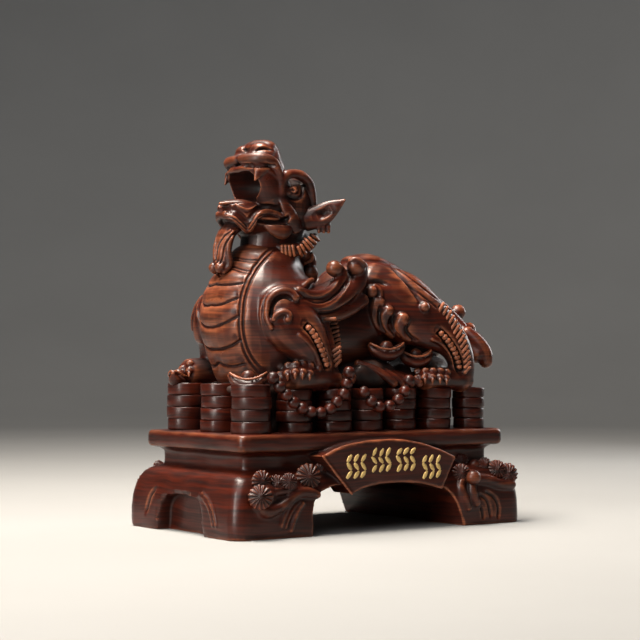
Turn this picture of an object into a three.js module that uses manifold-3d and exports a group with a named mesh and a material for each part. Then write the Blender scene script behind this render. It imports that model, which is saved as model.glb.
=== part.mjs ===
// A pixiu, the winged guardian beast, crouching on a heap of coins, on a stepped plinth with four feet.
// Millimetres, +Z up. The origin is on the ground under the middle of the plinth, the beast faces -X,
// and the plinth's panel with the strokes faces -Y.
import * as THREE from "three";
import { LoftGeometry } from "three/addons/geometries/LoftGeometry.js";
import { mergeVertices } from "three/addons/utils/BufferGeometryUtils.js";
import Module from "manifold-3d";

// Driving dimensions of the plinth.
const footLength = 145;
const footWidth = 85;
const footCorner = 5.5;
const slabLength = 133;
const slabWidth = 75;
const slabCorner = 2.5;
const slabThickness = 7.5;
const neckHeight = 6;
const neckInset = 3.7;
const apronHeight = 26.5;
const frontArchLength = 77;
const frontArchHeight = 18.5;
const endHollowWidth = 33;
const endHollowHeight = 14.5;
const endHollowDepth = 7.5;
const panelThickness = 5;
const panelInset = 0.1;
const panelTopHalf = 35;
const panelFootHalf = 23;
const panelShift = 2;
const panelRise = 3.5;
const panelDrop = 11;
const panelTopArc = 13;
const panelFootArc = 9.5;
const archLean = 2;
const edgeRounding = 1.3;
const edgeGroove = 0.6;
const branchRadius = 1.7;
const ridgeRadius = 0.9;
const floretHeight = 3;

// Driving dimensions of the coin heap and of the beast on it.
const coinThickness = 4.3;
const coinRadius = 8.1;
const coinsInStack = 4;
const coinGroove = 0.8;
const heapCorner = 12;
const heapCrown = 5;
const stackPitch = 18.6;
const endStackPitch = 24;
const slabMargin = 3.6;
const leftStackRise = 2.2;
const stackSides = 7;
const beadRadius = 2.2;
const threadRadius = 1.2;
const beastHeight = 103;
const seatGap = 0.3;

// Worked out from the sizes above.
const plinthHeight = apronHeight + neckHeight + slabThickness;
const heapFoot = plinthHeight + seatGap;
const heapHeight = coinThickness * coinsInStack - seatGap;
const heapTop = heapFoot + heapHeight;
const rowX = slabLength / 2 - slabMargin - coinRadius;
const rowY = slabWidth / 2 - slabMargin - coinRadius;
const heapFront = slabWidth / 2 - slabMargin;
const neckLength = slabLength - 2 * neckInset;
const apronSpread = (footLength - neckLength) / 2;
const neckWidth = footWidth - 2 * apronSpread;
const neckCorner = Math.max(1, footCorner - apronSpread);

// The beast's points and radii are in shares of its height, with x and z from the plinth's middle and
// from the coins' top. A hundred and three shares make the whole height.
const share = beastHeight / 103;

const wasm = await Module();
wasm.setup();

function toSolid(geometry) {
  const bare = new THREE.BufferGeometry();
  bare.setAttribute("position", geometry.getAttribute("position"));
  bare.setIndex(geometry.index);
  const merged = mergeVertices(bare, 1e-4);
  const all = Array.from(merged.index.array);
  const kept = [];
  for (let i = 0; i < all.length; i += 3) {
    const [a, b, c] = all.slice(i, i + 3);
    if (a !== b && b !== c && c !== a) kept.push(a, b, c);
  }
  const spots = merged.attributes.position;
  const corner = [new THREE.Vector3(), new THREE.Vector3(), new THREE.Vector3()];
  let volume = 0;
  for (let i = 0; i < kept.length; i += 3) {
    corner.forEach((p, k) => p.fromBufferAttribute(spots, kept[i + k]));
    volume += corner[0].dot(corner[1].clone().cross(corner[2]));
  }
  if (volume < 0) kept.reverse();
  return new wasm.Manifold(
    new wasm.Mesh({
      numProp: 3,
      vertProperties: new Float32Array(spots.array),
      triVerts: new Uint32Array(kept),
    }),
  );
}

function joined(solids) {
  return solids.reduce((whole, next) => whole.add(next));
}

function toMesh(solid, name, material) {
  const made = solid.getMesh();
  const geometry = new THREE.BufferGeometry();
  geometry.setAttribute("position", new THREE.BufferAttribute(made.vertProperties, 3));
  geometry.setIndex(new THREE.BufferAttribute(made.triVerts, 1));
  geometry.computeVertexNormals();
  const mesh = new THREE.Mesh(geometry, material);
  mesh.name = name;
  return mesh;
}

// One of the beast's own points, in shares, as a place in the part's frame.
function at([x, y, z]) {
  return new THREE.Vector3(x * share, y * share, heapTop + z * share);
}

// The same rows on the other side of the beast.
function mirrored(rows) {
  return rows.map(([x, y, z, ...rest]) => [x, -y, z, ...rest]);
}

// How much a polygon with so many sides is enlarged to have the area of the round that it stands for.
function fullnessOf(sides) {
  return Math.sqrt((2 * Math.PI) / (sides * Math.sin((2 * Math.PI) / sides)));
}

// An oval bar along places, each with a half width along the side direction and a half depth across it.
// Its ends are rounded off. The side direction is Y unless the bar itself runs along Y.
function barAlong(places, widths, depths, { sides = 6, rings = 5, sideways = [0, 1, 0] } = {}) {
  const route = new THREE.CatmullRomCurve3(places, false, "centripetal");
  const widthCurve = new THREE.SplineCurve(widths.map((w, i) => new THREE.Vector2(i, w)));
  const depthCurve = new THREE.SplineCurve(depths.map((d, i) => new THREE.Vector2(i, d)));
  const side = new THREE.Vector3(...sideways);
  const sections = [];
  const addRing = (t, beyond, fullness) => {
    const middle = route.getPoint(t);
    const heading = route.getTangent(t);
    const across = side.clone().addScaledVector(heading, -side.dot(heading)).normalize();
    const over = new THREE.Vector3().crossVectors(heading, across);
    const width = widthCurve.getPoint(t).y * fullnessOf(sides);
    const depth = depthCurve.getPoint(t).y * fullnessOf(sides);
    middle.addScaledVector(heading, beyond * Math.min(width, depth));
    const ring = [];
    for (let k = 0; k < sides; k += 1) {
      const angle = (2 * Math.PI * (k + 0.5)) / sides;
      ring.push(
        middle
          .clone()
          .addScaledVector(across, width * fullness * Math.cos(angle))
          .addScaledVector(over, depth * fullness * Math.sin(angle)),
      );
    }
    sections.push(ring);
  };
  addRing(0, -0.75, 0.55);
  for (let i = 0; i < rings; i += 1) addRing(i / (rings - 1), 0, 1);
  addRing(1, 0.75, 0.55);
  return toSolid(new LoftGeometry(sections, { capStart: true, capEnd: true }));
}

// A limb, fold or scroll of the beast: rows of x, y, z, half width and half depth, all in shares.
function limb(rows, options) {
  return barAlong(
    rows.map(at),
    rows.map((row) => row[3] * share),
    rows.map((row) => row[4] * share),
    options,
  );
}

// A round cord of one thickness in shares.
function cord(rows, radius, options) {
  return limb(rows.map((row) => [...row.slice(0, 3), radius, radius]), { sides: 3, rings: 4, ...options });
}

function ballAt(place, rx, ry, rz, around = 5, down = 4) {
  const geometry = new THREE.SphereGeometry(fullnessOf(around), around, down);
  geometry.rotateX(Math.PI / 2).scale(rx, ry, rz).translate(place.x, place.y, place.z);
  return toSolid(geometry);
}

function knob([x, y, z], radius, around = 5, down = 4) {
  const r = radius * share;
  return ballAt(at([x, y, z]), r, r, r, around, down);
}

function swelling([x, y, z], rx, ry, rz, around = 8, down = 5) {
  return ballAt(at([x, y, z]), rx * share, ry * share, rz * share, around, down);
}

// A closed ring of points round a rectangle with rounded corners, grown outwards by a distance.
function roundedRing(length, width, corner, grown, z, perCorner) {
  const ring = [];
  const reach = corner + grown;
  for (const [quarter, sx, sy] of [[0, 1, 1], [1, -1, 1], [2, -1, -1], [3, 1, -1]]) {
    for (let k = 0; k <= perCorner; k += 1) {
      const angle = (Math.PI / 2) * (quarter + k / perCorner);
      ring.push(
        new THREE.Vector3(
          sx * (length / 2 - corner) + reach * Math.cos(angle),
          sy * (width / 2 - corner) + reach * Math.sin(angle),
          z,
        ),
      );
    }
  }
  return ring;
}

// A moulding round a rectangle: rows of how far the edge is grown outwards, and its height.
function moulding(length, width, corner, rows, perCorner) {
  const rings = rows.map(([grown, z]) => roundedRing(length, width, corner, grown, z, perCorner));
  return toSolid(new LoftGeometry(rings, { capStart: true, capEnd: true }));
}

function extruded(outline, depth) {
  return new THREE.ExtrudeGeometry(outline, { depth, bevelEnabled: false, curveSegments: 5 });
}

// An outline in X and Z, from one Y to a greater one.
function slabAcross(outline, fromY, toY) {
  const geometry = extruded(outline, toY - fromY);
  geometry.rotateX(Math.PI / 2).translate(0, toY, 0);
  return toSolid(geometry);
}

function plinthSolid() {
  const slabFoot = plinthHeight - slabThickness;
  const apron = moulding(neckLength, neckWidth, neckCorner, apronRows(), 3);
  const neck = moulding(neckLength, neckWidth, neckCorner, [[0, apronHeight - 2], [0, slabFoot + 1]], 3);
  const slab = moulding(slabLength, slabWidth, slabCorner, [
    [-edgeRounding, slabFoot],
    [0, slabFoot + 0.2 * slabThickness],
    [-edgeGroove, slabFoot + 0.5 * slabThickness],
    [0, slabFoot + 0.8 * slabThickness],
    [-edgeRounding, plinthHeight],
  ], 2);
  const solid = apron.add(neck).add(slab).subtract(archThroughWidth());
  const bulk = solid.subtract(endHollow(-1)).subtract(endHollow(1));
  const face = footWidth / 2 - panelInset;
  const root = neckWidth / 2 - panelThickness;
  return joined([
    bulk,
    slabAcross(panelOutline(), -face, -root),
    slabAcross(panelOutline(), root, face),
    ...branches(),
    ...footRidges(),
  ]);
}

// How far the apron stands out from the neck, going up from the ground: full feet and a rounded shoulder.
function apronRows() {
  const shoulder = [
    [0.97, 0], [1, 0.13], [0.96, 0.44], [0.83, 0.69], [0.6, 0.87], [0, 1],
  ];
  return shoulder.map(([out, up]) => [apronSpread * out, apronHeight * up]);
}

// The opening through the plinth from front to back. It runs up beside each foot, has a rounded corner
// there, and then follows the foot of the panel in an arc.
function archThroughWidth() {
  const half = frontArchLength / 2;
  const corner = frontArchHeight * 0.64;
  const outline = new THREE.Shape();
  const spring = corner + frontArchHeight * 0.08;
  outline.moveTo(panelShift - half, -1);
  outline.lineTo(panelShift + half + archLean, -1);
  outline.quadraticCurveTo(panelShift + half - 2 * archLean, corner, panelShift + panelFootHalf, spring);
  outline.quadraticCurveTo(panelShift, 2 * frontArchHeight - spring, panelShift - panelFootHalf, spring);
  outline.quadraticCurveTo(panelShift - half, corner, panelShift - half, -1);
  return slabAcross(outline, -footWidth, footWidth);
}

// The hollow between the two feet at one end, with a back wall of its own.
function endHollow(end) {
  const half = endHollowWidth / 2;
  const outline = new THREE.Shape();
  outline.moveTo(-half - archLean, -1);
  outline.lineTo(half + archLean, -1);
  outline.quadraticCurveTo(half, endHollowHeight * 0.8, half * 0.5, endHollowHeight * 0.96);
  outline.lineTo(-half * 0.5, endHollowHeight * 0.96);
  outline.quadraticCurveTo(-half, endHollowHeight * 0.8, -half - archLean, -1);
  const reach = 2 * endHollowDepth;
  const geometry = extruded(outline, reach);
  geometry.rotateX(Math.PI / 2).rotateZ(Math.PI / 2).translate(-reach / 2, 0, 0);
  geometry.translate((end * footLength) / 2, 0, 0);
  return toSolid(geometry);
}

// The fan-shaped panel: two arcs, one over the other, and two straight sides that lean outwards.
function panelOutline() {
  const topZ = apronHeight + panelRise;
  const footZ = apronHeight - panelDrop;
  const outline = new THREE.Shape();
  outline.moveTo(panelShift - panelFootHalf, footZ);
  outline.quadraticCurveTo(panelShift, footZ + panelFootArc, panelShift + panelFootHalf, footZ);
  outline.lineTo(panelShift + panelTopHalf, topZ);
  outline.quadraticCurveTo(panelShift, topZ + panelTopArc, panelShift - panelTopHalf, topZ);
  return outline;
}

// A scalloped round head of pine needles, on a spot of the plinth's front.
function floret(x, z, radius) {
  const geometry = new THREE.LatheGeometry(
    [[0, -1], [1, -1], [1, 0.3], [0, 0.9]].map(
      ([r, up]) => new THREE.Vector2(r * radius, up * floretHeight),
    ),
    7,
  );
  geometry.rotateX(Math.PI).translate(x, faceY(z) + 0.8, z);
  return toSolid(geometry);
}

// The Y of the apron's front face at a height, from the same rows that shape the apron.
function faceY(z) {
  const rows = apronRows();
  const upper = rows.findIndex(([, height]) => height >= z);
  const [a, b] = [rows[Math.max(upper - 1, 0)], rows[Math.max(upper, 1)]];
  const part = (z - a[1]) / (b[1] - a[1]);
  return -(neckWidth / 2 + a[0] + (b[0] - a[0]) * part);
}

// Pine boughs on both front feet: a branch, and the needle heads over it. The back is plain.
function branches() {
  const edge = slabLength / 2;
  const heads = [
    [-edge + 6.5, 22, 4.6], [-edge + 6, 15.5, 5.2], [-edge + 14.5, 20.5, 3.8], [-edge + 18, 18, 3.6],
    [-edge + 27, 22.5, 5.2], [edge - 25, 23, 3.6], [edge - 11.5, 22.5, 4.2], [edge - 3, 21.5, 4.6],
  ].map(([x, z, r]) => floret(x, z, r));
  const boughs = [
    [[-edge + 16, 9], [-edge + 22, 15.5], [-edge + 31, 15.5], [-edge + 40, 17], [-edge + 44, 22]],
    [[edge - 24, 6], [edge - 22, 13], [edge - 20, 20], [edge - 10, 20.5]],
  ];
  const onFront = (spots) =>
    barAlong(
      spots.map(([x, z]) => new THREE.Vector3(x, faceY(z) + 0.4, z)),
      spots.map(() => branchRadius),
      spots.map(() => branchRadius),
      { sides: 4, rings: 5 },
    );
  return [...heads, ...boughs.map(onFront)];
}

// Two curved ridges that run down the inner edge of the near foot, by the front arch.
function footRidges() {
  const inner = panelShift - frontArchLength / 2;
  return [6, 9.2].map((inset) => {
    const spots = [[inner - inset, 16], [inner - inset - 3, 10], [inner - inset - 3.5, 4]];
    return barAlong(
      spots.map(([x, z]) => new THREE.Vector3(x, faceY(z) + 0.8 * ridgeRadius, z)),
      spots.map(() => ridgeRadius),
      spots.map(() => ridgeRadius),
      { sides: 4, rings: 3 },
    );
  });
}

// One stack of coins, a lathed pile with a groove under each coin.
function coinStack(x, y, level, coins = coinsInStack) {
  const height = heapHeight + level;
  const step = height / coins;
  const profile = [new THREE.Vector2(0, 0)];
  for (let coin = 0; coin < coins; coin += 1) {
    const foot = coin * step;
    profile.push(new THREE.Vector2(coinRadius - coinGroove, foot));
    profile.push(new THREE.Vector2(coinRadius, foot + 0.5 * step));
  }
  profile.push(new THREE.Vector2(coinRadius - coinGroove, height));
  profile.push(new THREE.Vector2(0, height));
  const geometry = new THREE.LatheGeometry(profile, stackSides);
  geometry.rotateX(Math.PI / 2).translate(x, y, heapFoot);
  return toSolid(geometry);
}

// Even places from one end of a row to the other, as many as the pitch asks for.
function places(half, pitch) {
  const gaps = Math.max(1, Math.round((2 * half) / pitch));
  return Array.from({ length: gaps + 1 }, (unused, i) => -half + (2 * half * i) / gaps);
}

// Stacks along the four edges, each a little above or below the mean height, round a domed filling.
function coinHeap() {
  const stacks = [];
  const rises = [0.6, -0.4, 0, -0.6, 0.3, 0.5, -0.3];
  places(rowX, stackPitch).forEach((x, i) => {
    stacks.push(coinStack(x, -rowY, i ? rises[i % rises.length] : leftStackRise));
    stacks.push(coinStack(x, rowY, i ? rises[(i + 2) % rises.length] : leftStackRise, i ? 2 : coinsInStack));
  });
  for (const y of places(rowY, endStackPitch).slice(1, -1)) {
    stacks.push(coinStack(-rowX, y, leftStackRise - 0.4));
    stacks.push(coinStack(rowX, y, 0.3, 2));
  }
  const filling = moulding(2 * rowX, 2 * rowY, heapCorner, [
    [0, heapFoot],
    [0, heapTop - 1],
    [-heapCorner + 1, heapTop + heapCrown],
  ], 2);
  return [filling, ...stacks];
}

// Beads on a thread that hangs over the coins' front: rows of x and z in shares, lying on the coins.
function beadString(spots, sign) {
  const level = (x, z) => new THREE.Vector3(x * share, sign * (heapFront + 0.6), heapTop + z * share);
  const route = new THREE.CatmullRomCurve3(spots.map(([x, z]) => level(x, z)), false, "centripetal");
  const count = Math.round(route.getLength() / (2 * beadRadius));
  const spacing = Array.from({ length: 2 * count + 1 }, (unused, i) => route.getPointAt(i / (2 * count)));
  const girth = spacing.map((unused, i) => (i % 2 ? threadRadius : beadRadius));
  return barAlong(spacing, girth, girth, { sides: 4, rings: 2 * count + 1 });
}

// A boat-shaped ingot with a ball in its middle, its long way along a heading in the X-Y plane.
function ingot(x, y, z, half, heading) {
  const [cx, cy] = [Math.cos(heading), Math.sin(heading)];
  const boat = limb(
    [[-1, 0.66, 0.2], [-0.5, 0, 0.46], [0.5, 0, 0.46], [1, 0.66, 0.2]].map(([along, up, stout]) => [
      x + along * half * cx, y + along * half * cy, z + up * half, stout * half, stout * half,
    ]),
    { sides: 4, rings: 4, sideways: [-cy, cx, 0] },
  );
  return boat.add(knob([x, y, z + 0.5 * half], 0.45 * half, 4, 3));
}

// Beads, ingots and bars under the beast, and the mound that its belly rests on.
function treasure() {
  const loops = [
    [[-50, 5], [-46.5, 1], [-40, -5], [-34, -8], [-29, -9.2], [-23.5, -7.8], [-19, -4.5], [-14, 2]],
    [[-6, -1], [-1, -6], [4.5, -7.5], [9.7, -5.3], [14.5, -1.5], [17.5, 3.5]],
  ];
  const behind = loops[0].filter((unused, i) => i % 2 === 0).map(([x, z]) => [x, heapFront / share, z]);
  const bars = [0, 1].map((i) =>
    cord([[2 + 9 * i, -22, 10.5 - i], [9 + 9 * i, -27, 7 - i], [15 + 8 * i, -30.5, 1.5]], 3, { rings: 3 }),
  );
  return [
    ...loops.map((spots) => beadString(spots, -1)),
    cord(behind, 2),
    ingot(-55.5, -25, 2.6, 7.3, -0.62),
    ingot(12.8, -24, 15, 7.4, 0),
    ingot(28, -24, 12, 6.8, 0),
    ingot(8, 24, 10, 7, 0.2),
    ingot(-57, 26, 4, 7, 0.7),
    swelling([-10, -29, 5], 4.5, 3, 3.5, 6, 4),
    swelling([8, -22, 6], 12, 6, 6, 6, 4),
    swelling([19, 0, 3], 31, 26, 14, 8, 4),
    swelling([-10, 22, 3], 17, 11, 10, 6, 4),
    ...bars,
  ];
}

// Chest, trunk, rump and tail.
function body() {
  return [
    limb([
      [-31, 0, 1, 17, 17], [-32, 0, 10, 22, 21.5], [-32, 0, 21, 25.5, 25.5], [-32, 0, 31, 26.4, 26.4],
      [-31, 0, 41, 23.5, 24], [-29.5, 0, 49, 17.5, 18.5], [-26.5, 0, 56, 12.5, 12.5], [-24, 0, 68, 11, 11],
    ], { sides: 8, rings: 6 }),
    limb([
      [-22, 0, 27, 23, 20], [-6, 0, 23, 21, 18.5], [6, 0, 25, 21, 20], [19, 0, 34.5, 21, 21],
      [32, 0, 30.5, 18, 18.5], [45, 0, 25, 13, 14], [56, 0, 20, 8, 9],
    ], { sides: 8, rings: 5 }),
    limb([
      [12, 0, 53, 6, 3.5], [20, 0, 54.5, 8, 3.2], [28, 0, 52.5, 8, 3], [38, -2, 47, 7.6, 3],
      [47, -4, 41, 7, 3], [56, -6, 34.5, 6, 3.4], [62, -11, 26.5, 5, 3.6], [62.8, -16.5, 20, 4.6, 3.8],
      [64.2, -22.5, 13.5, 3.6, 3.2],
    ], { sides: 4, rings: 7 }),
    knob([61, -5, 34], 3.2),
    knob([63, -12, 24.5], 3.2),
  ];
}

// Legs, wing and scrolls of one side. The far forefoot steps further forward, and the far side is plainer.
function side(far) {
  const put = far ? mirrored : (rows) => rows;
  const toe = far ? -15 : 0;
  const legs = { rings: 4 };
  const foreleg = limb(put([
    [-36, -18, 36, 9, 12.5], [-34 + toe * 0.3, -23.5, 27, 8, 12.5], [-28.5 + toe * 0.6, -26, 19, 7.2, 10],
    [-23.5 + toe, -26.5, 11.5, 6.4, 6.6], [-22 + toe, -26, 4, 6.4, 6.6],
  ]), legs);
  const forefoot = limb(put([
    [-16 + toe, -25.5, 4, 6, 5], [-28 + toe, -26.5, 5, 6.6, 5.6], [-39 + toe, -27, 5, 6.4, 5],
  ]), { sides: 5, rings: 3 });
  const hindleg = limb(put([
    [13, -11, 41, 11, 13], [24, -19, 34.5, 9, 15.5], [36, -25, 27, 6.8, 11.5], [46, -28, 19, 5.8, 7.5],
    [50.5, -28, 11, 5.6, 6], [50, -27, 3, 6, 6.4],
  ]), legs);
  const hindfoot = limb(put([
    [53, -26.5, 3, 6, 4.2], [42, -27, 4, 6.6, 5], [31, -27, 3.5, 6.4, 4.4],
  ]), { sides: 5, rings: 3 });
  const toes = [[-45, -23.5], [-42.5, -28.6], [-37, -32.2]].map(([x, y]) => [x + toe, y, 7.6]);
  const hindToes = [[28, -24], [30, -29], [35, -31.5]].map(([x, y]) => [x, y, 6]);
  const toeKnobs = put(far ? toes : [...toes, ...hindToes]).map((spot) => knob(spot, 3.8, 4, 3));
  const carving = far ? [] : [...scrolls(put), ...fringes(put)];
  return [foreleg, forefoot, hindleg, hindfoot, ...toeKnobs, ...wing(put, far), ...carving];
}

// The wing: a plate off the shoulder with feathers that curl into balls. The far one has fewer.
function wing(put, far) {
  const feather = { sides: 3, rings: 5 };
  const plate = limb(put([
    [-30, -19, 35, 6.5, 6], [-15, -19, 36.5, 5.5, 7], [-2, -18.5, 41, 4.6, 8], [3, -17.5, 47, 3.6, 5.5],
  ]), { sides: 5, rings: 3 });
  const upper = limb(put([
    [-33, -26.5, 40, 2, 1.6], [-24.8, -26, 37.7, 2.6, 1.8], [-17.3, -25, 38.7, 2.8, 1.9],
    [-11.2, -23.5, 42.2, 2.8, 1.9], [-7.6, -22, 47, 2.6, 1.8], [-9.5, -21.5, 50.6, 2.4, 1.6],
  ]), feather);
  const middle = limb(put([
    [-31.7, -27, 35, 2, 1.8], [-24, -27, 33.9, 2.8, 2.1], [-14.9, -26, 35.1, 3, 2.3],
    [-5.9, -24.5, 39.4, 3, 2.4], [2, -22.5, 45.4, 2.8, 2.2], [3.6, -21.5, 50.4, 2.4, 1.8],
  ]), feather);
  const balls = put([[-12, -22, 49.4], [-0.4, -22.5, 50.2]]).map((spot) => knob(spot, 3.8));
  if (far) return [plate, balls[1]];
  return [
    plate,
    upper,
    middle,
    ...balls,
    limb([
      [-24, -26.5, 30.6, 2, 1.6], [-14.9, -25.5, 31.2, 2.6, 2], [-6.6, -24.5, 34, 2.6, 2.2],
      [3, -23.5, 38, 2.4, 2],
    ], feather),
    knob([6, -23.5, 39.6], 3),
  ];
}

// The raised scroll on the shoulder and the three curled flames on the hip.
function scrolls(put) {
  return [
    cord(put([
      [-34, -26.5, 36.5], [-38, -27, 39.8], [-42.5, -25.8, 39.6], [-45.8, -24.4, 35.5],
      [-47.2, -23.2, 30], [-46, -23.2, 24], [-42, -25.5, 19.5],
    ]), 1.5, { rings: 6 }),
    cord(put([[6, -20.5, 18], [4.3, -21.5, 28], [9.5, -24, 37.5]]), 2.2, { rings: 3 }),
    cord(put([[13, -22, 18], [8.5, -23, 27], [11, -26, 32.5]]), 2.2, { rings: 3 }),
    cord(put([[20.5, -23, 20], [15.3, -25.5, 25.5], [18, -28, 29.6]]), 2.2, { rings: 3 }),
    knob(put([[11.8, -26.6, 30.2]])[0], 2.8),
    knob(put([[18.6, -28, 27]])[0], 2.6),
  ];
}

// The combed fringes behind the legs.
function fringes(put) {
  return [
    cord(put([[-19.5, -24.5, 30], [-17.4, -27.3, 18], [-15.6, -27.5, 6.5]]), 2.2, { rings: 3 }),
    cord(put([[41.5, -23, 35], [50.5, -27, 23], [56, -27.5, 8]]), 2.2, { rings: 3 }),
  ];
}

// The head is thrown back with the mouth wide open to the front.
function head() {
  const mouth = swelling([-48, 0, 83.3], 17.5, 12, 6.2, 8, 5);
  const upper = [
    swelling([-22, 0, 76], 11.5, 13.2, 13.5, 8, 5),
    limb([
      [-29, 0, 76, 13, 11], [-34, 0, 85, 13.6, 9.6], [-36.2, 0, 92, 13.6, 8.8], [-35.5, 0, 96.5, 11.5, 7],
    ], { sides: 7, rings: 3 }),
    swelling([-34.5, 0, 99.6], 5.6, 10.5, 3.4, 6, 4),
    swelling([-37.3, -5.6, 97.8], 4, 5, 3.2, 5, 4),
    swelling([-37.3, 5.6, 97.8], 4, 5, 3.2, 5, 4),
    limb([
      [-30.5, -14, 90.5, 1.9, 1.9], [-37, -13, 93.6, 2, 2], [-43.6, -8, 93.8, 2, 2], [-45.4, 0, 93.2, 2, 2],
      [-43.6, 8, 93.8, 2, 2], [-37, 13, 93.6, 2, 2], [-30.5, 14, 90.5, 1.9, 1.9],
    ], { sides: 3, rings: 6, sideways: [0, 0, 1] }),
  ];
  const jaw = [
    limb([[-22, 0, 67, 12.6, 8], [-34, 0, 68.5, 12.4, 7], [-43, 0, 70.6, 11, 6], [-47.5, 0, 73, 8.6, 5]],
      { sides: 8, rings: 3 }),
    limb([
      [-27, -12.4, 69.5, 1.6, 1.5], [-34, -12.8, 71.6, 1.6, 1.5], [-40, -12, 65.8, 1.6, 1.5],
      [-45, -10, 70, 1.6, 1.5], [-50.5, -5.5, 72.6, 1.6, 1.5], [-52.3, 0, 73.2, 1.6, 1.5],
      [-50.5, 5.5, 72.6, 1.6, 1.5], [-45, 10, 70, 1.6, 1.5], [-40, 12, 65.8, 1.6, 1.5],
      [-34, 12.8, 71.6, 1.6, 1.5], [-27, 12.4, 69.5, 1.6, 1.5],
    ], { sides: 3, rings: 9, sideways: [0, 0, 1] }),
  ];
  const inside = [
    limb([[-34, 0, 74, 5, 3], [-42, 0, 74.6, 5.4, 2.8], [-48, 0, 75, 3.4, 2]], { sides: 4, rings: 3 }),
    ...[-1, 1].map((way) =>
      limb([[-41.5, 8 * way, 91.5, 1.9, 1.9], [-42.6, 7.8 * way, 84, 0.4, 0.4]], { sides: 3, rings: 2 }),
    ),
  ];
  const outside = joined([...upper, ...jaw]).subtract(mouth);
  return joined([outside, ...inside, ...faceSide(-1), ...faceSide(1)]);
}

// Eye, brow, ear and ruff of one side of the head, and on the near side the cheek folds and neck curls.
function faceSide(way) {
  const near = way < 0;
  const put = near ? (rows) => rows : mirrored;
  const brow = limb(put([
    [-31.5, -11.5, 80, 2, 1.8], [-31, -11.8, 85, 2.4, 2], [-27.5, -12, 88, 2.6, 2.1],
    [-21.5, -11.5, 87.5, 2.4, 2], [-16.5, -10.8, 83.5, 2.2, 1.9], [-13.8, -10.2, 77.5, 2, 1.7],
  ]), { sides: 3, rings: 5 });
  const ear = limb(put([
    [-18, -10.5, 68.5, 2.6, 4.6], [-13, -15.5, 71, 1.8, 4.4], [-9.5, -19, 74.5, 1.2, 2.6],
    [-7.2, -21.8, 77.4, 0.5, 0.6],
  ]), { sides: 4, rings: 4, sideways: [0.7, way * 0.7, 0] });
  const ruff = cord(put([[-34, -10.5, 56.5], [-28, -13, 55.6], [-21, -12.4, 56.5], [-15, -8.5, 59.8]]), 2.4);
  const plain = [knob(put([[-25.4, -11.6, 81.6]])[0], 2.4), brow, ear, ruff];
  if (!near) return plain;
  return [
    ...plain,
    knob([-12.5, -14, 66.8], 3.1),
    cord([[-18.5, -10, 55], [-17.5, -11.5, 50], [-18.5, -12.5, 45], [-16, -13.5, 40.5]], 2.6, { rings: 4 }),
  ];
}

function beard() {
  return [
    limb([
      [-45.5, 0, 67.5, 4.4, 3.2], [-50, 0, 63, 5.4, 3], [-52, 0, 56.5, 5.4, 3], [-52.5, 0, 50.5, 4.6, 2.8],
    ], { sides: 6, rings: 4 }),
    knob([-54.4, -2.4, 49.4], 2.3),
    knob([-54.4, 2.4, 49.4], 2.3),
  ];
}

const lacquer = new THREE.MeshStandardMaterial({ color: 0x6e2d1c, roughness: 0.35, metalness: 0 });
const plinthLacquer = new THREE.MeshStandardMaterial({ color: 0x5e2718, roughness: 0.38, metalness: 0 });

const pixiu = joined([
  ...coinHeap(),
  ...treasure(),
  ...body(),
  ...side(false),
  ...side(true),
  head(),
  ...beard(),
]);

const figure = new THREE.Group();
figure.add(toMesh(plinthSolid(), "plinth", plinthLacquer));
figure.add(toMesh(pixiu, "pixiu_on_coins", lacquer));

export default figure;
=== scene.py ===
import math

import bmesh
import bpy
import numpy as np
from mathutils import Matrix, Vector, noise
from mathutils.bvhtree import BVHTree
from mathutils.kdtree import KDTree


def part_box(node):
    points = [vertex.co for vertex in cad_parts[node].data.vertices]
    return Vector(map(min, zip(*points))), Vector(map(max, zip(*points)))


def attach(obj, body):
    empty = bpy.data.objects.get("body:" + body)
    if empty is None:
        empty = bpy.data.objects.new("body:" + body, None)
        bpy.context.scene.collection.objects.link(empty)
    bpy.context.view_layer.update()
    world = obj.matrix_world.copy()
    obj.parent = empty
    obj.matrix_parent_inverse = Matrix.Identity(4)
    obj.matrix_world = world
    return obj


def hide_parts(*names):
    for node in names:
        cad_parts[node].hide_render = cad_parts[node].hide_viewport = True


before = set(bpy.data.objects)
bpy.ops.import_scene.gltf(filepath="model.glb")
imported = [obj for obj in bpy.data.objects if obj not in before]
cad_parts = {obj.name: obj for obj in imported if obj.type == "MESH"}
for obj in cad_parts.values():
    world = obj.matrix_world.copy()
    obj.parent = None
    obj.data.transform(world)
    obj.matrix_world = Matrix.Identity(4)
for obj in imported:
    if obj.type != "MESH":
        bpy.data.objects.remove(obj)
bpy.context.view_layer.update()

# A pixiu, the winged guardian beast, crouching on coins, on a footed plinth. The figure faces -X and the
# camera stands on the -Y side. Shapes are in millimetres in the frame, and each piece is finished in metres.
MM = 0.001
NEAR, FAR = -1, 1
rng = np.random.default_rng(7)

# The photograph's camera: its focal length and axis in picture pixels, and where it stands in millimetres.
FOCAL_PX, AXIS_PX, PICTURE_PX = 1728.0, (326.5, 359.6), 640
CAMERA_AZIMUTH = math.radians(-35.3)
CAMERA_DISTANCE, EYE_HEIGHT = 732.0, 69.1
BACK = np.array([math.sin(CAMERA_AZIMUTH), -math.cos(CAMERA_AZIMUTH), 0])
RIGHT = np.array([math.cos(CAMERA_AZIMUTH), math.sin(CAMERA_AZIMUTH), 0])
UP = np.array([0, 0, 1.0])
EYE = BACK * CAMERA_DISTANCE + UP * EYE_HEIGHT


def frame_box(node):
    """The lowest and highest corner of a CAD node in millimetres."""
    return [np.array(corner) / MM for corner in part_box(node)]


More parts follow.
